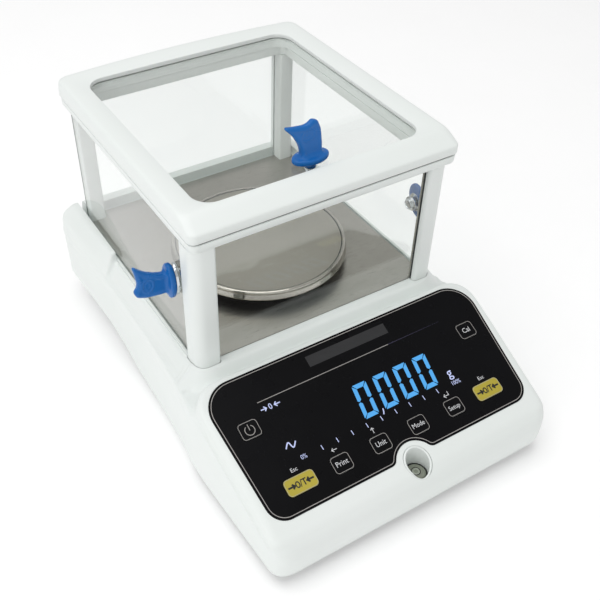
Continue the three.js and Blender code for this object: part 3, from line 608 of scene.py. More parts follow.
def film_outline(grow=0.0):
    """Outline of the control panel film as (across, down) points, with the bite round the level."""
    bite_v, bite_r, fillet = 96.3, 14.6 - grow, 5 + grow
    top, bottom, length = PANEL_TOP_HALF + grow, PANEL_BOTTOM_HALF + grow, PANEL_LENGTH + grow
    left = fillet_path([(0, -grow, 0), (-top, -grow, 19 + grow), (-bottom, length, 12 + grow),
                        (0, length, 0)], 12)
    right = [(-x, v) for x, v in reversed(left)]
    rise = bite_v - length + fillet
    reach = math.sqrt((bite_r + fillet) ** 2 - rise**2)
    corner = math.atan2(rise, reach)
    bite = []
    for k in range(7):
        a = math.pi / 2 - k / 6 * (math.pi / 2 - corner)
        bite.append((-reach + fillet * math.cos(a), length - fillet + fillet * math.sin(a)))
    for k in range(1, 24):
        a = math.pi + corner + k / 24 * (math.pi - 2 * corner)
        bite.append((bite_r * math.cos(a), bite_v + bite_r * math.sin(a)))
    bite += [(-x, v) for x, v in reversed(bite[:7])]
    bite = [(x + LEVEL_X, v) for x, v in bite]
    return left[1:-1] + bite + right[1:-1]


def panel_slab(outline, low, high):
    """A solid between two heights above the panel, from an (across, down) outline."""
    return loft([on_panel([(x, v, w) for x, v in outline]) for w in (low, high)])


def panel_block(x0, x1, v0, v1, low, high):
    return panel_slab([(x0, v0), (x1, v0), (x1, v1), (x0, v1)], low, high)


KEY_LAYOUT = {
    "key_power": (-83.8, 33.5), "key_calibrate": (83.8, 33.5), "key_print": (-42.8, 75.4),
    "key_unit": (-13.9, 75.4), "key_mode": (15, 75.4), "key_setup": (43.9, 75.4),
    "key_tare_left": (-71.6, 75.1), "key_tare_right": (72.4, 75.1),
}
KEY_SIZE, TARE_SIZE = (13, 11, 2.4), (20.5, 10.6, 2.6)
DISPLAY_WINDOW = (-62, 64, 28, 65)


def key_outline(name, grow=0.0):
    x, v = KEY_LAYOUT[name]
    width, height, radius = TARE_SIZE if "tare" in name else KEY_SIZE
    w, h, r = width / 2 + grow, height / 2 + grow, radius + grow
    return fillet_path([(x - w, v - h, r), (x - w, v + h, r), (x + w, v + h, r), (x + w, v - h, r)], 7, True)


def build_housing():
    housing = to_object("housing", housing_solid(), WHITE, "base", 50, ["upper_housing"])
    deck_floor, track_floor, above = 73.6, 71.1, 95
    inner, outer = 87.0, 91.4
    cutters = [
        hollow_solid(),
        block(-outer, outer, DECK_FRONT - 0.5, 147, deck_floor, above),
        block(-outer, -inner, 140, 170, track_floor, above),
        block(inner, outer, 140, 170, track_floor, above),
        block(-outer, -inner, -27.5, 150, track_floor, above),
        block(inner, outer, -27.5, 150, track_floor, above),
        lathe([(0, 55), (14, 55), (14, 90), (0, 90)], (0, PAN_Y), 48),
    ]
    for side in (-1, 1):
        for row in ("front", "rear"):
            cutters.append(loft([post_outline(side, row, z, 0.35) for z in (70.7, above)]))
    cutters.append(lathe([(0, 22), (LEVEL_RING + 0.25, 22), (LEVEL_RING + 0.25, 60), (0, 60)],
                         (LEVEL_X, LEVEL_Y), 72))
    for node in ("power_socket", "serial_port"):
        low, high = span(node)
        cutters.append(block(low[0] - 0.3, high[0] + 0.3, 140, 170, low[2] - 0.3, high[2] + 0.3))
    cutters.append(panel_slab(film_outline(0.2), -0.8, 4))
    x0, x1, v0, v1 = DISPLAY_WINDOW
    cutters.append(panel_block(x0, x1, v0, v1, -9, 0))
    for x, v in KEY_LAYOUT.values():
        cutters.append(panel_block(x - 4.1, x + 4.1, v - 3.6, v + 3.6, -9, 0))
    cut(housing, cutters)
    return housing


# ---- control panel
class Print:
    """Ink on the panel, gathered as thin closed plates: points are (across, down) and turn into solids."""

    def __init__(self, low=FILM_PROUD - 0.02, high=FILM_PROUD + 0.035):
        self.low, self.high = low, high
        self.verts, self.faces = [], []

    def solid(self, shape):
        verts, faces = shape
        start = len(self.verts)
        self.verts.extend(np.asarray(verts, float).tolist())
        self.faces.extend([start + i for i in face] for face in faces)

    def plate(self, outline):
        self.solid(panel_slab(outline, self.low, self.high))

    def stroke(self, points, width, closed=False):
        """A line of constant width along the points."""
        p = np.asarray(points, float)
        ahead = np.roll(p, -1, 0) - p
        behind = p - np.roll(p, 1, 0)
        if not closed:
            ahead[-1], behind[0] = behind[-1], ahead[0]
        unit_a = ahead / np.linalg.norm(ahead, axis=1)[:, None]
        unit_b = behind / np.linalg.norm(behind, axis=1)[:, None]
        middle = unit_a + unit_b
        middle /= np.linalg.norm(middle, axis=1)[:, None]
        side = np.stack([-middle[:, 1], middle[:, 0]], 1)
        side *= (width / 2 / np.maximum(0.4, (middle * unit_a).sum(1)))[:, None]
        left, right = p + side, p - side
        rings = []
        for a, b in zip(left, right):
            rings.append(on_panel([(*a, self.low), (*b, self.low), (*b, self.high), (*a, self.high)]))
        self.solid(loft(rings, closed=closed))

    def text(self, words, x, v, size, spread=1.0, bold=0.0):
        """Centred words whose capitals are about 0.7 of size tall."""
        curve = bpy.data.curves.new("words", "FONT")
        curve.body = words
        curve.size = size
        curve.align_x, curve.align_y = "CENTER", "CENTER"
        curve.extrude = (self.high - self.low) / 2
        curve.offset = bold
        curve.resolution_u = 3
        holder = link_object("words", curve)
        mesh = bpy.data.meshes.new_from_object(holder.evaluated_get(bpy.context.evaluated_depsgraph_get()))
        bpy.data.objects.remove(holder)
        bpy.data.curves.remove(curve)
        middle = (self.low + self.high) / 2
        points = [(x + c.co.x * spread, v - c.co.y, middle + c.co.z) for c in mesh.vertices]
        self.solid((on_panel(points), [list(f.vertices) for f in mesh.polygons]))
        bpy.data.meshes.remove(mesh)

    def arrow(self, x, v, dx, dv, length, width, head):
        """An arrow from its tail to its tip, with an open head."""
        d = np.array([dx, dv], float)
        side = np.array([-dv, dx], float)
        tip = np.array([x, v]) + d * length / 2
        self.stroke([tip - d * length, tip - d * width * 0.6], width)
        self.stroke([tip - d * head + side * head, tip, tip - d * head - side * head], width)

    def make(self, name, material, body, slot):
        return to_object(name, (self.verts, self.faces), material, body, smooth=0)


def arc_points(x, v, r, start, end, steps):
    """Points round a circle on the panel; angles are in degrees, clockwise from the right."""
    angles = np.radians(np.linspace(start, end, steps + 1))
    return [(x + r * math.cos(a), v + r * math.sin(a)) for a in angles]


def build_film():
    film = to_object("panel_film", panel_slab(film_outline(), FILM_PROUD - 1, FILM_PROUD), FILM, "base",
                     0, ["keypad_overlay"])
    cut(film, [panel_slab(key_outline(name, 0.18), -2, 2) for name in KEY_LAYOUT])
    add_bevel(film, 0.12, 2)

    rule_v = 20.4
    border = Print()
    border.stroke(film_outline(-1.5), 0.42, closed=True)
    border.stroke([(-71.5, rule_v), (27, rule_v)], 0.4)
    border.make("film_border", SILVER, "base", "panel_film")
    faded = Print()
    for k in range(6):
        faded.stroke([(27 + 7 * k, rule_v), (34 + 7 * k, rule_v)], 0.36 - 0.05 * k)
    faded.make("film_rule_end", printed_ink("fading_rule", (0.035, 0.03, 0.075)), "base", "panel_film")
    label = Print()
    label.plate([(-29, 5.9), (-29, 13.3), (32, 13.3), (32, 5.9)])
    label.make("blank_label", LABEL, "base", "panel_film")


KEY_WORDS = {"key_calibrate": ("Cal", 4.9), "key_print": ("Print", 4.8), "key_unit": ("Unit", 4.7),
             "key_mode": ("Mode", 4.4), "key_setup": ("Setup", 4.2)}


def print_tare(ink, x, v):
    """Two arrows towards 0/T, for zero and tare."""
    ink.arrow(x - 6.5, v, 1, 0, 4.6, 1.15, 1.5)
    ink.arrow(x + 6.5, v, -1, 0, 4.6, 1.15, 1.5)
    zero = [(x - 2.25 + 1.15 * math.cos(a), v + 1.75 * math.sin(a)) for a in full_turn(24)]
    ink.stroke(zero, 0.75, closed=True)
    ink.stroke([(x - 0.65, v + 2.2), (x + 0.55, v - 2.2)], 0.5)
    ink.stroke([(x + 0.75, v - 1.75), (x + 3.85, v - 1.75)], 0.75)
    ink.stroke([(x + 2.3, v - 1.75), (x + 2.3, v + 2.1)], 0.75)


def build_keys():
    """Each key is a thin cap with a stem below, its printed rim and its word or symbol."""
    for name, (x, v) in KEY_LAYOUT.items():
        tare = "tare" in name
        slot = "amber_film" if tare else "panel_film"
        body = f"{name}_body"
        # The cap is thin enough to clear the housing when the key is pressed.
        verts, faces = panel_slab(key_outline(name), -0.22, 0.42)
        stem_verts, stem_faces = panel_block(x - 3.5, x + 3.5, v - 3, v + 3, -4, -0.17)
        faces += [[i + len(verts) for i in f] for f in stem_faces]
        cap = to_object(f"{name}_cap", (np.concatenate([verts, stem_verts]), faces), AMBER if tare else FILM,
                        body, 30, [name])
        add_bevel(cap, 0.14, 2)
        rim, ink = Print(0.40, 0.45), Print(0.40, 0.455)
        edge = SILVER
        if tare:
            rim.stroke(key_outline(name, -0.3), 0.32, closed=True)
            edge = printed_ink(f"{name}_edge", (0.5, 0.47, 0.3))
            print_tare(ink, x, v)
        else:
            rim.stroke(key_outline(name, -0.35), 0.3, closed=True)
        if name == "key_power":
            ink.stroke(arc_points(x, v + 0.3, 3.1, -58, 238, 32), 0.42)
            ink.stroke([(x, v - 3.6), (x, v + 0.4)], 0.42)
        if name in KEY_WORDS:
            words, size = KEY_WORDS[name]
            ink.text(words, x, v + (0.35 if "p" in words else 0), size, 0.93)
        rim.make(f"{name}_rim", edge, body, slot)
        ink.make(f"{name}_print", BLACK_INK if tare else SILVER if name == "key_power" else INK, body, slot)


def build_marks():
    """White marks printed beside the keys."""
    marks = Print()
    marks.text("Esc", -71.6, 66.3, 3.6)
    marks.text("Esc", 72.6, 66.5, 3.6)
    marks.arrow(-42.9, 66.2, -1, 0, 3.6, 0.42, 1.2)
    marks.arrow(-14.2, 66.2, 0, -1, 3.6, 0.42, 1.2)
    marks.stroke([(45.2, 64.6), (45.2, 67), (41.4, 67)], 0.42)
    marks.stroke([(42.7, 65.7), (41.4, 67), (42.7, 68.3)], 0.42)
    marks.make("panel_marks", INK, "base", "panel_film")


SEGMENT = 2.95  # stroke width of a display digit
DIGIT_HEIGHT = 22.6


def digit_segments(height):
    """Outlines of the six segments of a zero, top left at the origin, before slanting."""
    w, s, g, mid = 10.6, SEGMENT, 0.22, height / 2
    top = [(g + 0.3, 0), (w - g - 0.3, 0), (w - s, s), (s, s)]
    left_top = [(0, g + 0.3), (s - g, s + g), (s - g, mid - s * 0.45), (s * 0.45, mid - g),
                (0, mid - s * 0.3)]
    right_top = [(w - x, y) for x, y in left_top][::-1]
    upper = [top, left_top, right_top]
    return upper + [[(x, height - y) for x, y in reversed(points)] for points in upper]


def build_display():
    """The digits and marks that light up behind the film."""
    digits = Print(FILM_PROUD - 0.02, FILM_PROUD + 0.05)
    lean, pitch, first, top = 0.135, 15.75, -14.6, 35.6
    for k in range(4):
        for outline in digit_segments(DIGIT_HEIGHT):
            shaped = [(first + k * pitch + x + lean * (DIGIT_HEIGHT - y), top + y) for x, y in outline]
            digits.plate(fillet_path([(*p, 0.18) for p in shaped], 2, True))
    digits.make("display_digits", LIT, "base", "display_glass")

    small = Print()
    small.stroke([(-0.4, 56.6), (-1.0, 58.6), (-1.9, 60.2)], 0.75)
    for k in range(9):
        x = -48.9 + k * 11.06
        small.stroke([(x - 0.1, 60.3), (x + 0.1, 63.4)], 0.5)
    turns = np.linspace(-1.2 * math.pi, 1.2 * math.pi, 33)
    small.stroke([(-65.7 + 0.95 * a - 0.5 * math.sin(a), 52.3 + 1.9 * math.sin(a)) for a in turns], 0.8)
    small.arrow(-69.8, 25.6, 1, 0, 3.9, 0.72, 1.5)
    small.arrow(-60.3, 25.6, -1, 0, 3.9, 0.72, 1.5)
    small.text("0", -65.1, 25.7, 5.2, 0.95, 0.05)
    small.text("g", 54.3, 54.6, 9.2, 0.95, 0.06)
    small.text("0%", -62, 61.9, 4.0, 0.9)
    small.text("100%", 54.9, 61.9, 4.0, 0.85)
    small.make("display_marks", LIT_SMALL, "base", "display_glass")


# ---- spirit level
def build_level(housing_before_cut):
    """The cup, whose rim follows the nose of the housing, and the vial inside."""
    segments = 96

    def rim(r, z_of, lift=0.0):
        points = []
        for a in full_turn(segments):
            x, y = LEVEL_X + r * math.cos(a), LEVEL_Y + r * math.sin(a)
            points.append((x, y, z_of(x, y) + lift))
        return points

    def skin(x, y):
        # The housing's own height just outside the hole, in the same direction from its middle.
        out = np.array([x - LEVEL_X, y - LEVEL_Y])
        out *= (LEVEL_RING + 0.8) / np.linalg.norm(out)
        start = Vector((LEVEL_X + out[0], LEVEL_Y + out[1], 90)) * MM
        _, place, _, _ = housing_before_cut.ray_cast(start, Vector((0, 0, -1)))
        return place.z / MM

    loops = [
        rim(LEVEL_RING, lambda x, y: 24.0), rim(LEVEL_RING, skin, -0.25), rim(LEVEL_RING - 0.3, skin, 0.12),
        rim(LEVEL_BORE + 0.35, skin, 0.12), rim(LEVEL_BORE, skin, -0.25),
        rim(LEVEL_BORE - 0.1, lambda x, y: 31), rim(LEVEL_BORE - 0.3, lambda x, y: 26.2),
        rim(0.01, lambda x, y: 26.2), rim(0.01, lambda x, y: 24.0),
    ]
    to_object("level_cup", loft(loops, closed=True), WHITE, "base", 40, ["level_bezel"])

    centre = (LEVEL_X, LEVEL_Y)
    body = fillet_path([(0, 26.4, 0), (6.7, 26.4, 0.3), (6.7, 29.4, 0.9), (5.6, 30.5, 0.8), (0, 30.9, 0)])
    to_object("level_vial_body", lathe(body, centre, 64), VIAL, "base", 50, ["level_vial"])
    # A dark ring round the vial is painted shade, for the shadow in the well round the vial.
    shade_ring = fillet_path([(6.75, 28.2, 0), (7.3, 28.2, 0), (7.3, 29.5, 0.2), (6.75, 29.7, 0),
                          (6.75, 28.2, 0)])
    to_object("level_shade_ring", lathe(shade_ring, centre, 64), DARK_AND_SHADE, "base", 50)
    for name, r, width, height, material in (("level_circle", 2.9, 0.16, 30.85, BLACK_INK),
                                             ("level_bubble_edge", 2.2, 0.35, 30.9, BUBBLE)):
        ring = [(r - width, height - 0.1), (r - width * 0.6, height + 0.1), (r, height + 0.14),
                (r + width, height - 0.1)]
        to_object(name, lathe(ring + ring[:1], centre, 48), material, "base", 50)


# ---- shield
def ring_levels():
    """Levels up the outside of the top frame: inset of the sides, inset of the front, height and plan corner
    radius. The side and rear limbs stand upright; the front limb slopes down to a low crest."""
    low = RING_LOW[2]
    return [
        (3.4, 3.4, low, 2.5), (2.4, 2.4, low + 0.1, 3), (0.6, 0.6, low + 0.3, 4.4),
        (0.15, 0.15, low + 0.6, 4.9), (0, 0, low + 1.1, 5), (0, 0, 178.6, 5), (0.02, 0.12, 179.4, 5),
        (0.05, 0.6, 180.0, 5.2),
        (0.1, 1.5, 180.5, 5.4), (0.2, 4.6, 182.1, 5.6), (0.35, 7.6, 183.6, 5.8), (0.6, 9.4, 184.45, 6),
        (1.0, 11.0, 185.15, 6.3), (1.6, 12.4, 185.65, 6.6), (2.5, 13.5, 185.95, 7), (3.8, 14.6, 186.1, 7.5),
    ]


def build_top_frame():
    """The frame that carries the lid: a closed band lofted through its levels, outside first."""
    half = (RING_HIGH[0] - RING_LOW[0]) / 2
    middle = (RING_HIGH[0] + RING_LOW[0]) / 2
    front, back = RING_LOW[1], RING_HIGH[1]
    rows = []
    for side, front_in, z, r in ring_levels():
        rows.append((middle - half + side, middle + half - side, front + front_in, back - side, z, r))
    x, y0, y1 = 78.0, OPENING_FRONT, OPENING_BACK
    for grow, z, r in ((0.7, 186.15, 12.6), (0.25, 185.95, 12.3), (0, 185.4, 12), (0, 181.0, 12),
                       (1, 180.7, 11.5), (1, RING_LOW[2] + 0.4, 11.5), (1.4, RING_LOW[2], 11.2)):
        rows.append((-x - grow, x + grow, y0 - grow, y1 + grow, z, r))
    loops = []
    for x0, x1, y0, y1, z, r in rows:
        loop = rounded_loop(x0, x1, y0, y1, r, z, 14)
        dense = []
        for p, q in zip(loop, np.roll(loop, -1, 0)):
            steps = 12 if np.linalg.norm(q - p) > 40 else 1
            dense += [p + (q - p) * k / steps for k in range(steps)]
        loop = np.array(dense)
        # The rear limb bows a little outward and upward.
        bow = np.clip(1 - (loop[:, 0] / 96) ** 2, 0, 1) * smoothstep(100, 150, loop[:, 1])
        loop[:, 1] += 3.4 * bow * smoothstep(136.5, 140, y1)
        loop[:, 2] += 0.9 * bow * smoothstep(178, 186, z)
        loops.append(loop)
    ring = to_object("shield_top_frame", loft(loops, closed=True), WHITE, "base", 38,
                     ["top_frame"])
    slot = 0.2
    cut(ring, [block(LID_LOW[0] - slot, LID_HIGH[0] + slot, LID_LOW[1] - slot, 175, LID_LOW[2] - slot,
                     LID_HIGH[2] + slot)])


def pane_slots(grow):
    """Cutters for the slots that hold the fixed panes and let the doors run."""
    cutters = []
    for node, back in (("front_glass", 0), ("rear_glass", 0), ("left_door", 45), ("right_door", 45)):
        low, high = span(node)
        cutters.append(block(low[0] - grow, high[0] + grow, low[1] - grow, high[1] + grow + back,
                             low[2] - grow, high[2] + grow))
    return cutters


def rail_loop(inset, radius, z):
    return rounded_loop(RAIL_LOW[0] + inset, RAIL_HIGH[0] - inset, RAIL_LOW[1] + inset, RAIL_HIGH[1] - inset,
                        radius, z, 12)


def build_rail():
    """The band under the top frame that holds the panes and guides the doors."""
    low, high = RAIL_LOW[2], RAIL_HIGH[2]
    levels = [(3.2, low), (1.5, low + 0.15), (0.7, low + 0.7), (0.3, low + 1.6), (0.05, high - 1.3),
              (0.15, high - 0.6), (0.6, high - 0.35), (2.4, high - 0.1)]
    loops = []
    for d, z in levels:
        loops.append(rail_loop(d, 5.2, z))
    inner = [(0, high + 0.25), (0, high - 0.8), (0, low + 0.8), (0.1, low + 0.3), (0.6, low)]
    for d, z in inner:
        loops.append(rounded_loop(-79 - d, 79 + d, -29.5 - d, 137 + d, 4.5, z, 12))
    rail = to_object("rail", loft(loops, closed=True), WHITE, "base", 40, ["shield_rail"])
    cut(rail, pane_slots(0.3))

    # A dark band sunk in the seam between the rail and the top frame: painted shade of the seam.
    band = []
    for d, z in ((0.75, high - 0.6), (0.75, high + 0.7), (2.2, high + 0.7), (2.2, high - 0.6)):
        band.append(rail_loop(d, 5, z))
    to_object("frame_seam_shade", loft(band, closed=True), DARK_AND_SHADE, "base", 30)


def build_posts():
    for side, hand in ((-1, "left"), (1, "right")):
        for row in ("front", "rear"):
            node = f"post_{row}_{hand}"
            low, high = span(node)
            shape = loft([post_outline(side, row, z) for z in (low[2], high[2])])
            post = to_object(f"{row}_post_{hand}", shape, WHITE, "base", 30, [node])
            cut(post, pane_slots(0.3)[:2])


def build_seals():
    """Dark strips of painted shade in the slots where the front pane enters the posts, a tan strip of painted
    shade on each post's inner face behind the pane, and a door seal.
    """
    low, high = span("front_glass")
    bottom, top = 76, high[2] - 3.4
    for side, hand in ((-1, "left"), (1, "right")):
        # The first two rows are painted shade: dark strips in the slot gaps, and tan strips for the posts'
        # shaded inner faces.
        for name, inner, outer, front, back, material, bevel in (
                ("front_slot_shade", 75.35, 76.4, low[1] - 0.5, high[1] - 0.6, DARK_AND_SHADE, 0.15),
                ("post_face_shade", 75.4, 76.3, high[1] + 0.1, high[1] + 1.5, POST_SHADE, 0.25),
                ("door_seal", 87.4, 90.2, -27.75, -27.15, DARK_AND_SHADE, 0.1)):
            x0, x1 = sorted((side * inner, side * outer))
            seal = to_object(f"{name}_{hand}", block(x0, x1, front, back, bottom, top), material, "base")
            add_bevel(seal, bevel, 2)


# ---- panes
def build_pane(name, node, body, thin_axis, knob=None):
    """A pane of glass with ground edges: the two big faces are clear, the narrow ones green."""
    low, high = span(node)
    shape = block(low[0], high[0], low[1], high[1], low[2], high[2])
    pane = to_object(name, shape, [GLASS, GLASS_EDGE], body, 0, [node])
    if knob is not None:
        cut(pane, [knob_hole(knob, thin_axis)])
    fix = bmesh.new()
    fix.from_mesh(pane.data)
    edges = [e for e in fix.edges if len(e.link_faces) == 2 and e.calc_face_angle(0) > 1.2]
    bmesh.ops.bevel(fix, geom=edges, offset=0.3 * MM, segments=2, affect="EDGES", profile=0.5)
    fix.to_mesh(pane.data)
    fix.free()
    if len(pane.data.materials) < 2:
        pane.data.materials.clear()
        pane.data.materials.append(GLASS)
        pane.data.materials.append(GLASS_EDGE)
    for face in pane.data.polygons:
        face.material_index = 0 if abs(face.normal[thin_axis]) > 0.98 else 1
        face.use_smooth = False
    return pane


def knob_hole(centre, axis, radius=2.3, reach=8):
    """A cutter for the knob's screw, through a pane."""
    u, v = [np.eye(3)[k] for k in range(3) if k != axis]
    out = np.eye(3)[axis]
    turn = full_turn(24)[:, None]
    rim = radius * (np.cos(turn) * u + np.sin(turn) * v)
    return loft([centre + out * t + rim for t in (-reach, reach)])


# ---- knobs
def knob_profile():
    """The grip seen from its side, as (along, out) points: a horn that leans to one side and a round one."""
    return fillet_path([(-6.4, 1, 0), (-8.0, 12, 20), (-12.8, 20.4, 22), (-19.8, 27.8, 0.9),
                        (-12.0, 26.4, 14), (-5.6, 25.6, 8), (-2.6, 26.4, 4), (-0.2, 28.3, 2.2),
                        (3.6, 26.9, 3.2), (6.0, 21, 14), (6.9, 12, 18), (7.4, 1, 0)], 5)


def knob_mesh(lift, reach):
    """The knob in its own frame: z out from the pane, the flange along x, the grip leaning to -x. The washer
    below lifts the flange off the pane; reach scales the grip's length."""
    low = np.array([-22.5, -9.0, -1.0])
    x, y, z = grid_axes(low, (15, 9, 30.5), KNOB_STEP)
    rho = np.sqrt((x / 12.4) ** 2 + (y / 7.2) ** 2)
    top = lift + 3.6 + 1.4 * np.clip(1 - rho, 0, 1)
    flange = smooth_max((rho - 1) * 7.2, np.maximum(z - top, lift - z), 1.3)
    grip2d = polygon_distance(x[:, :, :1] + 0 * z[:, :, :1], 0 * x[:, :, :1] + z / reach, knob_profile())
    half = 2.5 - 0.5 * smoothstep(8, 26, z) + 0.5 * smoothstep(9, 4, z)
    # A raised bead follows the grip's outline, round an oval badge.
    half = half + 0.3 * np.exp(-((grip2d + 2.2) / 0.8) ** 2)
    badge = np.sqrt(((x + 3.4 - 0.12 * (z - 19)) / 4.8) ** 2 + ((z - 19.6) / 3.5) ** 2)
    half = half + 0.32 * np.exp(-((badge - 1) / 0.13) ** 2) + 0.18 * np.exp(-((badge - 0.45) / 0.14) ** 2)
    grip = smooth_max(grip2d, np.abs(y) - half, 1.8)
    grip = smooth_max(grip, lift + 1 - z, 0.5)
    return surface_net(smooth_min(flange, grip, 2.4), low, KNOB_STEP)


TURN = math.radians(25)  # the right knob is turned about its screw
KNOBS = {
    "left": ("left_door_body", "left_door", (0, 0, -1), (0, -1, 0), (-1, 0, 0)),
    "right": ("right_door_body", "right_door", (0, -math.sin(TURN), -math.cos(TURN)),
              (0, math.cos(TURN), -math.sin(TURN)), (1, 0, 0)),
    "lid": ("lid_body", "lid_glass", (1, 0, 0), (0, 1, 0), (0, 0, 1)),
}


def knob_place(name):
    """Origin on the pane's outer face, and the axes of the knob's own frame as rows."""
    body, pane, x_axis, y_axis, z_axis = KNOBS[name]
    low, high = span(f"{name}_knob_washer")
    centre = (low + high) / 2
    pane_low, pane_high = span(pane)
    axis = int(np.argmax(np.abs(z_axis)))
    centre[axis] = pane_high[axis] if z_axis[axis] > 0 else pane_low[axis]
    return centre, np.array([x_axis, y_axis, z_axis], float)


def build_knobs():
    """Outside the pane the grip on its washer, inside it a cap and the screw's head."""
    for name, (body, *_rest) in KNOBS.items():
        origin, axes = knob_place(name)
        pane_thick = 2.6 if name == "lid" else 2.0
        lift, plate, stretch = (3.2, 6.8, 1.7) if name == "left" else (1.2, 5.0, 1.3)
        reach = 0.76 if name == "right" else 1.0
        inside = -pane_thick - 0.15

        def put(label, shape, material, replaces, smooth=50):
            points, polygons = shape
            to_object(f"{name}_{label}", (origin + np.asarray(points) @ axes, polygons), material, body,
                      smooth, [f"{name}_{replaces}"])

        put("grip", knob_mesh(lift, reach), BLUE, "knob", 180)
        washer = fillet_path([(2.2, 0.15, 0), (plate - 0.2, 0.15, 0.2), (plate, lift / 2, 0.3),
                              (plate - 0.5, lift - 0.05, 0.2), (2.2, lift - 0.05, 0), (2.2, 0.15, 0)])
        put("washer", oval_lathe(washer, stretch), CHROME, "knob_washer")
        cap = fillet_path([(2.2, inside, 0), (3.6, inside, 0.3), (3.6, inside - 1.5, 0.5),
                           (2.2, inside - 1.7, 0), (2.2, inside, 0)])
        put("inner_cap", oval_lathe(cap, 1.0), BLUE, "knob_cap")
        rim = 3.9 if name == "lid" else 5.1
        head = fillet_path([(0, inside - 1.6, 0), (rim, inside - 1.6, 0.15), (rim, inside - 2.2, 0.2),
                            (3.8, inside - 2.5, 0.2), (3.6, inside - 4.2, 0.5), (2.9, inside - 4.6, 0.2),
                            (2.5, inside - 4.0, 0.2), (0, inside - 3.7, 0)])
        put("screw", lathe(head, (0, 0), 48), CHROME, "knob_screw")


def oval_lathe(profile, stretch, segments=72):
    """A turned ring whose outside is stretched along x into an oval; the bore stays round."""
    bore = min(r for r, _ in profile)
    loops = []
    for r, z in profile[:-1]:
        loops.append(circle((0, 0), r if r <= bore + 1e-6 else r * stretch, z, segments, r))
    return loft(loops, closed=True)


# ---- pan and its support
def build_pan():
    top, skirt = 89.8, PAN_HIGH[0]
    crest = PAN_HIGH[2]
    profile = [(0, top, 0), (57.6, top, 0.3), (58.3, crest - 0.12, 0.3), (59.2, crest, 0.5),
               (60.2, crest - 0.25, 0.6), (60.5, 88.9, 0.8), (60.2, 88.0, 1.5), (skirt, 85.0, 1.5),
               (skirt, PAN_LOW[2], 0.3), (skirt - 1, PAN_LOW[2], 0.3), (59.1, 88.1, 2), (57.5, 88.5, 1),
               (0, 88.5, 0)]
    path = fillet_path(profile, 5)
    dense = []
    for (r0, z0), (r1, z1) in zip(path, path[1:]):
        steps = max(1, round(abs(r1 - r0) / 12))
        dense += [(r0 + (r1 - r0) * k / steps, z0 + (z1 - z0) * k / steps) for k in range(steps)]
    dense.append(path[-1])
    pan = to_object("pan", lathe(dense, (0, PAN_Y), 160), [PAN_TOP, PAN_RIM, DARK_AND_SHADE], "pan",
                    40, ["weighing_pan"])
    # Between the satin top and the bead a dark band of painted shade stands for the crease at the bead's foot.
    satin, shade_edge = 57.4, 58.2
    for face in pan.data.polygons:
        x, y, z = face.center / MM
        r = math.hypot(x, y - PAN_Y)
        upper = z > 89.2
        face.material_index = 0 if r < satin and upper else 1
        if satin < r < shade_edge and upper:
            face.material_index = 2


def build_pan_support():
    low, high = span("pan_support")
    arm = (high[0] - low[0]) / 2
    profile = [(0, low[2], 0), (11, low[2], 0.6), (11, 74, 0.8), (7.5, 77.2, 1.5), (7.5, 78.4, 0.4),
               (arm, 78.4, 0.4), (arm, 81, 0.8), (13, 82, 3), (10.5, high[2], 0.5), (0, high[2], 0)]
    shape = lathe(fillet_path(profile, 4), (0, PAN_Y), 96)
    # A real carrier, coloured black; its wide disc also serves as painted shade, filling the dark gap under the
    # pan.
    to_object("pan_carrier", shape, RUBBER, "platform", 40, ["pan_support"])


# ---- feet
def build_feet():
    for corner in ("front_left", "front_right", "rear_left", "rear_right"):
        low, high = span(f"foot_pad_{corner}")
        centre = ((low + high) / 2)[:2]
        pad = [(0, low[2], 0), (6.6, low[2], 0.3), (8, low[2] + 0.5, 0.5), (8, 1.9, 0.5), (7.2, high[2], 0.3),
               (0, high[2], 0)]
        rubber = to_object(f"foot_rubber_{corner}", lathe(fillet_path(pad, 4), centre, 72), RUBBER,
                           f"foot_{corner}", 50, [f"foot_pad_{corner}"])
        cut(rubber, [ring_cutter(r, low[2], centre) for r in (3, 5)])
        build_wheel(corner, centre)


def ring_cutter(r, z, centre):
    """A shallow round groove in the underside at height z."""
    corners = ((r - 0.35, z - 1), (r + 0.35, z - 1), (r + 0.35, z + 0.4), (r - 0.35, z + 0.4))
    return loft([circle(centre, radius, height, 72) for radius, height in corners], closed=True)


def build_wheel(corner, centre):
    """The knurled thumb wheel and its threaded stem."""
    low, high = span(f"foot_screw_{corner}")
    teeth, per_tooth, stem = 30, 4, 2.98
    count = teeth * per_tooth
    knurl = 0.32 * np.cos(full_turn(count) * teeth)
    wheel = [(0.01, low[2], 0), (6.4, low[2], 0), (8.7, low[2] + 0.1, 0.3), (9.08, low[2] + 0.7, 1),
             (9.08, 5.6, 1), (8.7, 6.2, 0.3), (6.4, 6.3, 0), (5.2, 6.3, 0), (2.98, 6.4, 0)]
    loops = [circle(centre, r + knurl * share, z, count) for r, z, share in wheel]
    z = 7.2
    while z < high[2] - 1.2:
        for lift, radius in ((0, stem), (0.25, stem), (0.5, 2.6), (0.75, 2.6)):
            loops.append(circle(centre, radius, z + lift, count))
        z += 1.0
    for radius, height in ((stem, z), (stem, high[2] - 0.4), (2.5, high[2]), (0.01, high[2])):
        loops.append(circle(centre, radius, height, count))
    to_object(f"foot_wheel_{corner}", loft(loops), TRAY, f"foot_{corner}_wheel", 30,
              [f"foot_screw_{corner}"])


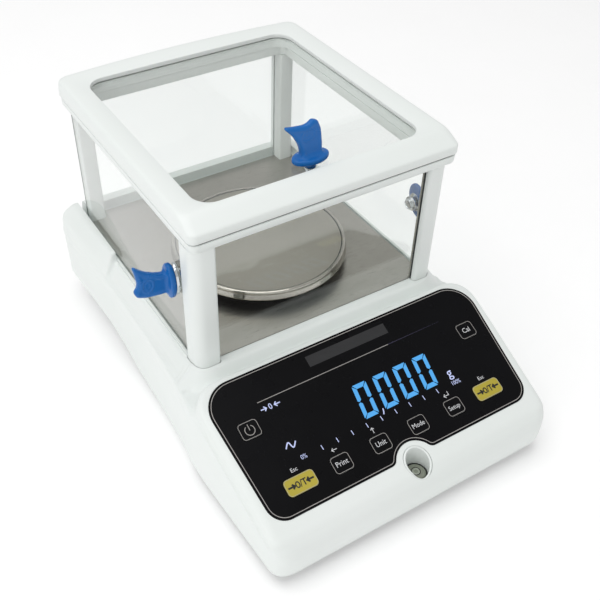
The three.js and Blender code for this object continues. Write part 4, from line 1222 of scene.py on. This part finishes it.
# ---- sockets in the back
def build_sockets():
    low, high = span("power_socket")
    x, z = (low[0] + high[0]) / 2, (low[2] + high[2]) / 2
    jack = to_object("power_jack", block(low[0], high[0], low[1], high[1], low[2], high[2]), RUBBER, "base",
                     30, ["power_socket"])
    cut(jack, [turned_y([(0, 152), (3.2, 152), (3.2, 170), (0, 170)], x, z)])
    add_bevel(jack, 0.5, 3)
    pin = fillet_path([(0, 151, 0), (1.05, 151, 0), (1.05, 161.2, 0.5), (0, 161.5, 0)])
    to_object("power_pin", turned_y(pin, x, z), CHROME, "base", 40)

    low, high = span("serial_port")
    x, z = (low[0] + high[0]) / 2, (low[2] + high[2]) / 2
    body = to_object("serial_body", block(low[0], high[0], low[1], high[1] - 1.4, low[2], high[2]), RUBBER,
                     "base", 30, ["serial_port"])
    add_bevel(body, 0.5, 3)
    shell = [d_loop(x, z, 8.9, 4.6, y) for y in (158, high[1] - 0.4, high[1])]
    shell.append(d_loop(x, z, 8.3, 4.0, high[1]))
    shell.append(d_loop(x, z, 8.3, 4.0, 158))
    to_object("serial_shell", loft(shell, closed=True), CHROME, "base", 30)
    insert = loft([d_loop(x, z, 8.2, 3.9, y) for y in (158, 160.4)])
    to_object("serial_insert", insert, DARK_AND_SHADE, "base", 30)
    pitch, row = 2.75, 1.4
    pins = [(x + (k - 2) * pitch, z + row) for k in range(5)]
    pins += [(x + (k - 1.5) * pitch, z - row) for k in range(4)]
    for k, (px, pz) in enumerate(pins):
        pin = fillet_path([(0, 159, 0), (0.5, 159, 0), (0.5, 162, 0.25), (0, 162.2, 0)], 3)
        to_object(f"serial_pin_{k + 1}", turned_y(pin, px, pz, 16), CHROME, "base", 40)
    for side in (-1, 1):
        nut = fillet_path([(0, 160, 0), (2.4, 160, 0.2), (2.4, 162.4, 0.3), (0, 162.7, 0)], 3)
        to_object(f"serial_nut_{'left' if side < 0 else 'right'}", turned_y(nut, x + side * 12.4, z, 6),
                  CHROME, "base", 20)


def turned_y(profile, x, z, segments=48):
    """A body turned about an axis along Y; the profile is (radius, y) pairs."""
    verts, faces = lathe(profile, (0, 0), segments)
    return np.stack([x + verts[:, 0], verts[:, 2], z + verts[:, 1]], 1), faces


def d_loop(x, z, half_width, half_height, y, slant=0.9):
    """A D-shaped outline, wider at the top."""
    w, h = half_width, half_height
    corners = [(-w + slant, -h, 2), (w - slant, -h, 2), (w + slant * 0.4, h, 2), (-w - slant * 0.4, h, 2)]
    return [(x + a, y, z + b) for a, b in fillet_path(corners, 5, True)]


# ---- carried-over CAD pieces
def dress(nodes, material, bevel=0.3, segments=2):
    """Gives CAD nodes a finish and softened edges."""
    for name in nodes:
        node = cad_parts[name]
        node.data.materials.clear()
        node.data.materials.append(material)
        add_bevel(node, bevel, segments)
        for face in node.data.polygons:
            face.use_smooth = False


def build_inside():
    dress(["deck_plate"], STEEL, 0.2)
    dress(["left_door_track", "right_door_track"], WHITE, 0.25)
    dress(["base_tray"], TRAY, 0.6)
    dress([f"tray_screw_{k}" for k in range(1, 5)], CHROME, 0.25)
    dress(["load_cell", "load_cell_mount"], ALUMINIUM, 0.4)
    dress(["main_board", "key_board"], BOARD, 0.15)
    dress(["display_module"], DISPLAY, 0.3)


# ---- assembly
def build_all():
    housing = build_housing()
    build_film()
    build_keys()
    build_marks()
    build_display()
    build_level(housing)
    build_top_frame()
    build_rail()
    build_posts()
    build_seals()
    build_pane("pane_front", "front_glass", "base", 1)
    build_pane("pane_rear", "rear_glass", "base", 1)
    for name, axis in (("left", 0), ("right", 0), ("lid", 2)):
        body, pane = KNOBS[name][:2]
        build_pane(f"pane_{name}", pane, body, axis, knob_place(name)[0])
    build_knobs()
    build_pan()
    build_pan_support()
    build_feet()
    build_sockets()
    build_inside()


# ---- camera, floor and light
def place_camera():
    """From high on the front left, with the horizon a little turned."""
    az, el, roll = math.radians(32.1), math.radians(42.1), math.radians(0.9)
    forward = Vector((math.sin(az) * math.cos(el), math.cos(az) * math.cos(el), -math.sin(el)))
    level_right = Vector((math.cos(az), -math.sin(az), 0))
    level_up = level_right.cross(forward)
    right = level_right * math.cos(roll) + level_up * math.sin(roll)
    up = level_up * math.cos(roll) - level_right * math.sin(roll)
    lens = bpy.data.cameras.new("camera")
    lens.lens = 51.14
    lens.shift_x, lens.shift_y = 0.0357, 0.0122
    lens.clip_start = 0.01
    camera = link_object("camera", lens)
    matrix = Matrix((right, up, -forward)).transposed().to_4x4()
    matrix.translation = Vector((-243.7, -376.8, 457.9)) * MM
    camera.matrix_world = matrix
    bpy.context.scene.camera = camera


def make_floor():
    mesh = raw_mesh("floor", loft([circle((0, 0), 2400, z, 96) for z in (-6, 0)]))
    mesh.materials.append(FLOOR)
    link_object("floor", mesh)


def add_lamp(name, place, target, size, power):
    data = bpy.data.lights.new(name, "AREA")
    data.shape = "RECTANGLE"
    data.size = data.size_y = size * MM
    data.energy = power
    lamp = link_object(name, data)
    lamp.location = Vector(place) * MM
    lamp.rotation_euler = (Vector(target) * MM - lamp.location).to_track_quat("-Z", "Y").to_euler()


def light_scene():
    world = bpy.data.worlds.new("studio")
    world.use_nodes = True
    background = world.node_tree.nodes["Background"]
    background.inputs["Color"].default_value = (1, 1, 1, 1)
    background.inputs["Strength"].default_value = 0.6
    bpy.context.scene.world = world
    add_lamp("overhead", (-300, 100, 1600), (0, 0, 60), 1500, 11)
    add_lamp("left_bank", (-1000, -500, 700), (0, 0, 80), 800, 2.2)
    bpy.context.scene.view_settings.view_transform = "Standard"


build_all()
place_camera()
make_floor()
light_scene()
